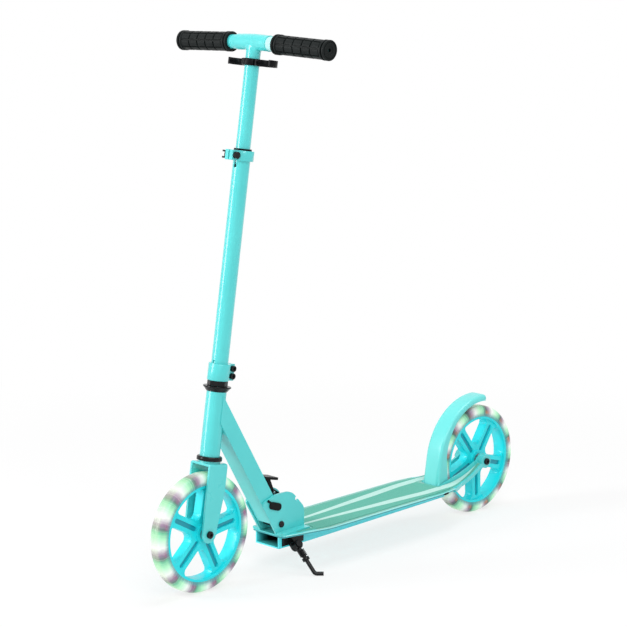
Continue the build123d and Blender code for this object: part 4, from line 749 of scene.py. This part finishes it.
# T-joint: the upper tube runs into the bar sleeve through a smooth saddle
TUBE_RADIUS = 12.0
SLEEVE_RADIUS = 13.0
BAR_DROOP = math.tan(math.radians(1.75))
DROOP_ROUND = 6.0
TEE_SINK = 0.6
TEE_LIMIT = 1.35
TUBE_LIFT = 0.05
SLEEVE_LIFT = 0.12
SADDLE_REACH = 7.0
SADDLE_FORE = 0.25
SADDLE_SIDE = 0.9
SADDLE_SIDES = 72
SADDLE_STEPS = 10
MIDDLE_HALF = 24.0
MIDDLE_LIFT = 0.10
MIDDLE_END_LIFT = -0.05
MIDDLE_RINGS = 24
MIDDLE_SIDES = 64
FORE = Vector((STEM_UP.z, 0, -STEM_UP.x))


def bar_sag(y):
    """How far the bar's line lies below its middle, rounded over at the centre."""
    return BAR_DROOP * (math.hypot(y, DROOP_ROUND) - DROOP_ROUND)


def tee_saddle():
    """A closed ring that fills the corner between tube and sleeve with a curve."""
    tube, sleeve = TUBE_RADIUS + TUBE_LIFT, SLEEVE_RADIUS + SLEEVE_LIFT
    sink = Vector((0, 0, TEE_SINK))
    points = []
    for angle in even_angles(SADDLE_SIDES):
        c, s = math.cos(angle), math.sin(angle)
        corner = Vector((tube * c, tube * s, -math.sqrt(sleeve**2 - (tube * c) ** 2)))
        low = corner - Vector((0, 0, SADDLE_REACH))
        swing = (tube + SADDLE_REACH * (SADDLE_FORE + SADDLE_SIDE * abs(s))) * c / sleeve
        wide = math.sin(max(-TEE_LIMIT, min(TEE_LIMIT, swing))) * sleeve
        high = Vector((wide, (tube + SADDLE_REACH) * s, -math.sqrt(sleeve**2 - wide**2)))
        curve = []
        for step in range(SADDLE_STEPS + 1):
            t = step / SADDLE_STEPS
            curve.append(low * (1 - t) ** 2 + corner * (2 * t * (1 - t)) + high * t**2)
        inward = Vector((c, s, 0)) * TEE_SINK
        curve += [high + sink, corner - inward + sink, low - inward]
        points += [BAR_CENTRE + FORE * p.x + ACROSS * p.y + STEM_UP * (p.z - bar_sag(p.y)) for p in curve]
    return points, grid_faces(SADDLE_SIDES, len(curve), True, True)


def tee_middle():
    """A closed skin over the middle of the sleeve, where its two halves meet."""
    ring = 2 * MIDDLE_HALF / MIDDLE_RINGS
    skin = [(-MIDDLE_HALF, MIDDLE_END_LIFT)]
    skin += [(-MIDDLE_HALF + ring * i, MIDDLE_LIFT) for i in range(1, MIDDLE_RINGS)]
    skin += [(MIDDLE_HALF, MIDDLE_END_LIFT)]
    skin += [(y, -TEE_SINK) for y, _ in reversed(skin)]
    points = []
    for y, lift in skin:
        centre = BAR_CENTRE + ACROSS * y - STEM_UP * bar_sag(y)
        for angle in even_angles(MIDDLE_SIDES):
            out = FORE * math.cos(angle) + STEM_UP * math.sin(angle)
            points.append(centre + out * (SLEEVE_RADIUS + lift))
    return points, grid_faces(len(skin), MIDDLE_SIDES, True, True)


piece("tee_saddle", tee_saddle(), aqua_steel, "handlebar", 80)
piece("tee_middle", tee_middle(), aqua_steel, "handlebar", 80)

# A black nylon liner between the two stem tubes; its dark colour, seen through the slit, is painted shade for the
# deep gap there
SHADE_LINER_LOW = 690.0
SHADE_LINER_HIGH = 726.0
SHADE_LINER_INNER = 12.01
SHADE_LINER_OUTER = 12.04
shade_liner = [(SHADE_LINER_LOW, SHADE_LINER_INNER), (SHADE_LINER_LOW, SHADE_LINER_OUTER)]
shade_liner += [(SHADE_LINER_HIGH, SHADE_LINER_OUTER), (SHADE_LINER_HIGH, SHADE_LINER_INNER)]
shape = revolve(STEM_FOOT, STEM_UP, FORWARD, shade_liner, even_angles(72))
piece("stem_shade_liner", shape, black_plastic, "steering", 80)

# Finishes for the solids: by the record's slots, or a node's own
SLOTS = {
    "aqua_alloy": aqua_alloy,
    "aqua_steel": aqua_steel,
    "black_steel": black_steel,
    "bright_steel": bright_steel,
    "black_plastic": black_plastic,
    "hub_plastic": hub_plastic,
    "fender_plastic": fender_plastic,
    "clear_tyre": front_rubber,
    "light_modules": light_module,
    "grip_rubber": grip_rubber,
    "pad_rubber": pad_rubber,
    "tape": tape,
}
OWN = {"deck_plate": beam_paint, "deck_beam": beam_paint}
OWN |= {f"grip_tube_{name}": tube_highlight_paint for name, _ in SIDES}
for end in ("front", "rear"):
    OWN |= {f"{end}_spacers": aqua_steel, f"{end}_bearings": dull_steel}

# Soft edges on the solids: the width of each node's bevel
EDGES = {
    "fork": 0.7,
    "deck_plate": 0.8,
    "deck_beam": 0.6,
    "down_tube": 1.6,
    "fold_plate_left": 0.6,
    "fold_plate_right": 0.6,
    "front_hub": 1.4,
    "rear_hub": 1.4,
    "rear_arm_left": 1.2,
    "rear_arm_right": 1.2,
    "fender": 0.6,
    "lower_clamp": 0.6,
    "clamp_collar": 0.6,
    "grip_holder": 0.5,
    "latch_pedal": 0.6,
    "clamp_lever": 0.5,
    "lower_cup": 0.5,
    "upper_cup": 0.5,
    "headset_nut": 0.5,
    "kickstand_collar": 0.5,
    "kickstand_bracket": 0.5,
    "pivot_bolt": 0.4,
    "lock_covers": 0.5,
    "fender_pin": 0.6,
}
WELD_GAP = 0.01
FLAT_ANGLE = 0.5
SHARP_ANGLE = 40


def soften(obj, width):
    """Joins a solid's flat triangles and bevels its sharp edges."""
    weld = obj.modifiers.new("weld", "WELD")
    weld.merge_threshold = WELD_GAP * MM
    flat = obj.modifiers.new("flat_faces", "DECIMATE")
    flat.decimate_type = "DISSOLVE"
    flat.angle_limit = math.radians(FLAT_ANGLE)
    bevel = obj.modifiers.new("soft_edges", "BEVEL")
    bevel.width = width * MM
    bevel.segments = 2
    bevel.limit_method = "ANGLE"
    bevel.angle_limit = math.radians(SHARP_ANGLE)
    bevel.harden_normals = True


for entry in frame["record"]["subparts"]:
    node = entry["node"]
    obj = frame["nodes"][node]
    for place in obj.material_slots:
        place.link = "OBJECT"
        place.material = OWN.get(node, SLOTS[entry["material_slot"]])
    if node in EDGES:
        soften(obj, EDGES[node])

# Camera: places in metres, the focal length in pixels of a square picture
AZIMUTH = math.radians(44.70)
ELEVATION = math.radians(10.78)
ROLL = math.radians(0.18)
TARGET = Vector((0.07873, 0, 0.4283))
DISTANCE = 3.6917
FOCAL_PIXELS = 2186.18
PICTURE_PIXELS = 627
SENSOR = 36
out = math.cos(ELEVATION)
back = Vector((math.cos(AZIMUTH) * out, math.sin(AZIMUTH) * out, math.sin(ELEVATION)))
right = Vector((0, 0, 1)).cross(back).normalized()
up = back.cross(right)
side = right * math.cos(ROLL) + up * math.sin(ROLL)
top = up * math.cos(ROLL) - right * math.sin(ROLL)
camera = bpy.data.objects.new("camera", bpy.data.cameras.new("camera"))
scene.collection.objects.link(camera)
aim = Matrix((side, top, back)).transposed().to_4x4()
camera.matrix_world = Matrix.Translation(TARGET + back * DISTANCE) @ aim
camera.data.lens = FOCAL_PIXELS * SENSOR / PICTURE_PIXELS
camera.data.sensor_width = SENSOR
scene.camera = camera
scene.view_settings.view_transform = "Standard"


# Floor and world: white to camera, glossy and transmission rays, plain light to the rest
def seen(tree):
    """1 for rays that show the background itself."""
    path = tree.nodes.new("ShaderNodeLightPath")
    total = path.outputs["Is Camera Ray"]
    for name in ("Is Glossy Ray", "Is Transmission Ray"):
        node = tree.nodes.new("ShaderNodeMath")
        node.operation = "MAXIMUM"
        tree.links.new(total, node.inputs[0])
        tree.links.new(path.outputs[name], node.inputs[1])
        total = node.outputs[0]
    return total


def floor_finish():
    """White far off; near the object, partly a plain surface that keeps its shadow."""
    finish = Finish("floor_white", Base_Color=(0.9, 0.9, 0.9, 1), Roughness=0.9, Specular_IOR_Level=0.0)
    far = finish.add("VectorMath", {0: finish.place}, operation="LENGTH").outputs["Value"]
    share = finish.product(seen(finish.tree), finish.spread(far, 0.5, 1.5, 0.70, 1.0, True))
    glow = finish.add("Emission", {"Color": (1, 1, 1, 1)})
    blend = finish.add("MixShader", {0: share, 1: finish.surface.outputs[0], 2: glow.outputs[0]})
    finish.plug(blend.outputs[0], finish.tree.nodes["Material Output"].inputs["Surface"])
    return finish.material


FLOOR_REACH = 30
corners = [(-FLOOR_REACH, -FLOOR_REACH, 0), (FLOOR_REACH, -FLOOR_REACH, 0)]
corners += [(FLOOR_REACH, FLOOR_REACH, 0), (-FLOOR_REACH, FLOOR_REACH, 0)]
floor_mesh = bpy.data.meshes.new("floor")
floor_mesh.from_pydata(corners, [], [(0, 1, 2, 3)])
floor_mesh.materials.append(floor_finish())
floor = bpy.data.objects.new("floor", floor_mesh)
scene.collection.objects.link(floor)

WORLD_LIGHT = 0.45
WORLD_WHITE = 1.0
world = bpy.data.worlds.new("studio")
scene.world = world
world.use_nodes = True
tree = world.node_tree
sky = tree.nodes["Background"]
sky.inputs["Color"].default_value = (1, 1, 1, 1)
level = tree.nodes.new("ShaderNodeMapRange")
tree.links.new(seen(tree), level.inputs["Value"])
level.inputs["To Min"].default_value = WORLD_LIGHT
level.inputs["To Max"].default_value = WORLD_WHITE
tree.links.new(level.outputs[0], sky.inputs["Strength"])


def lamp(name, place, aim, width, height, power):
    """An area lamp turned towards a point, in metres and watts."""
    data = bpy.data.lights.new(name, "AREA")
    data.shape = "RECTANGLE"
    data.size = width
    data.size_y = height
    data.energy = power
    obj = bpy.data.objects.new(name, data)
    scene.collection.objects.link(obj)
    away = (Vector(place) - Vector(aim)).normalized()
    obj.matrix_world = Matrix.Translation(place) @ away.to_track_quat("Z", "Y").to_matrix().to_4x4()


lamp("key", (3.0, -1.7, 1.35), (0.1, 0, 0.55), 0.9, 2.4, 70)
lamp("fill", (2.0, 3.0, 3.0), (0, 0, 0.3), 2.2, 2.2, 75)
lamp("top", (-0.6, 0.2, 3.2), (0, 0, 0.3), 1.8, 1.8, 40)
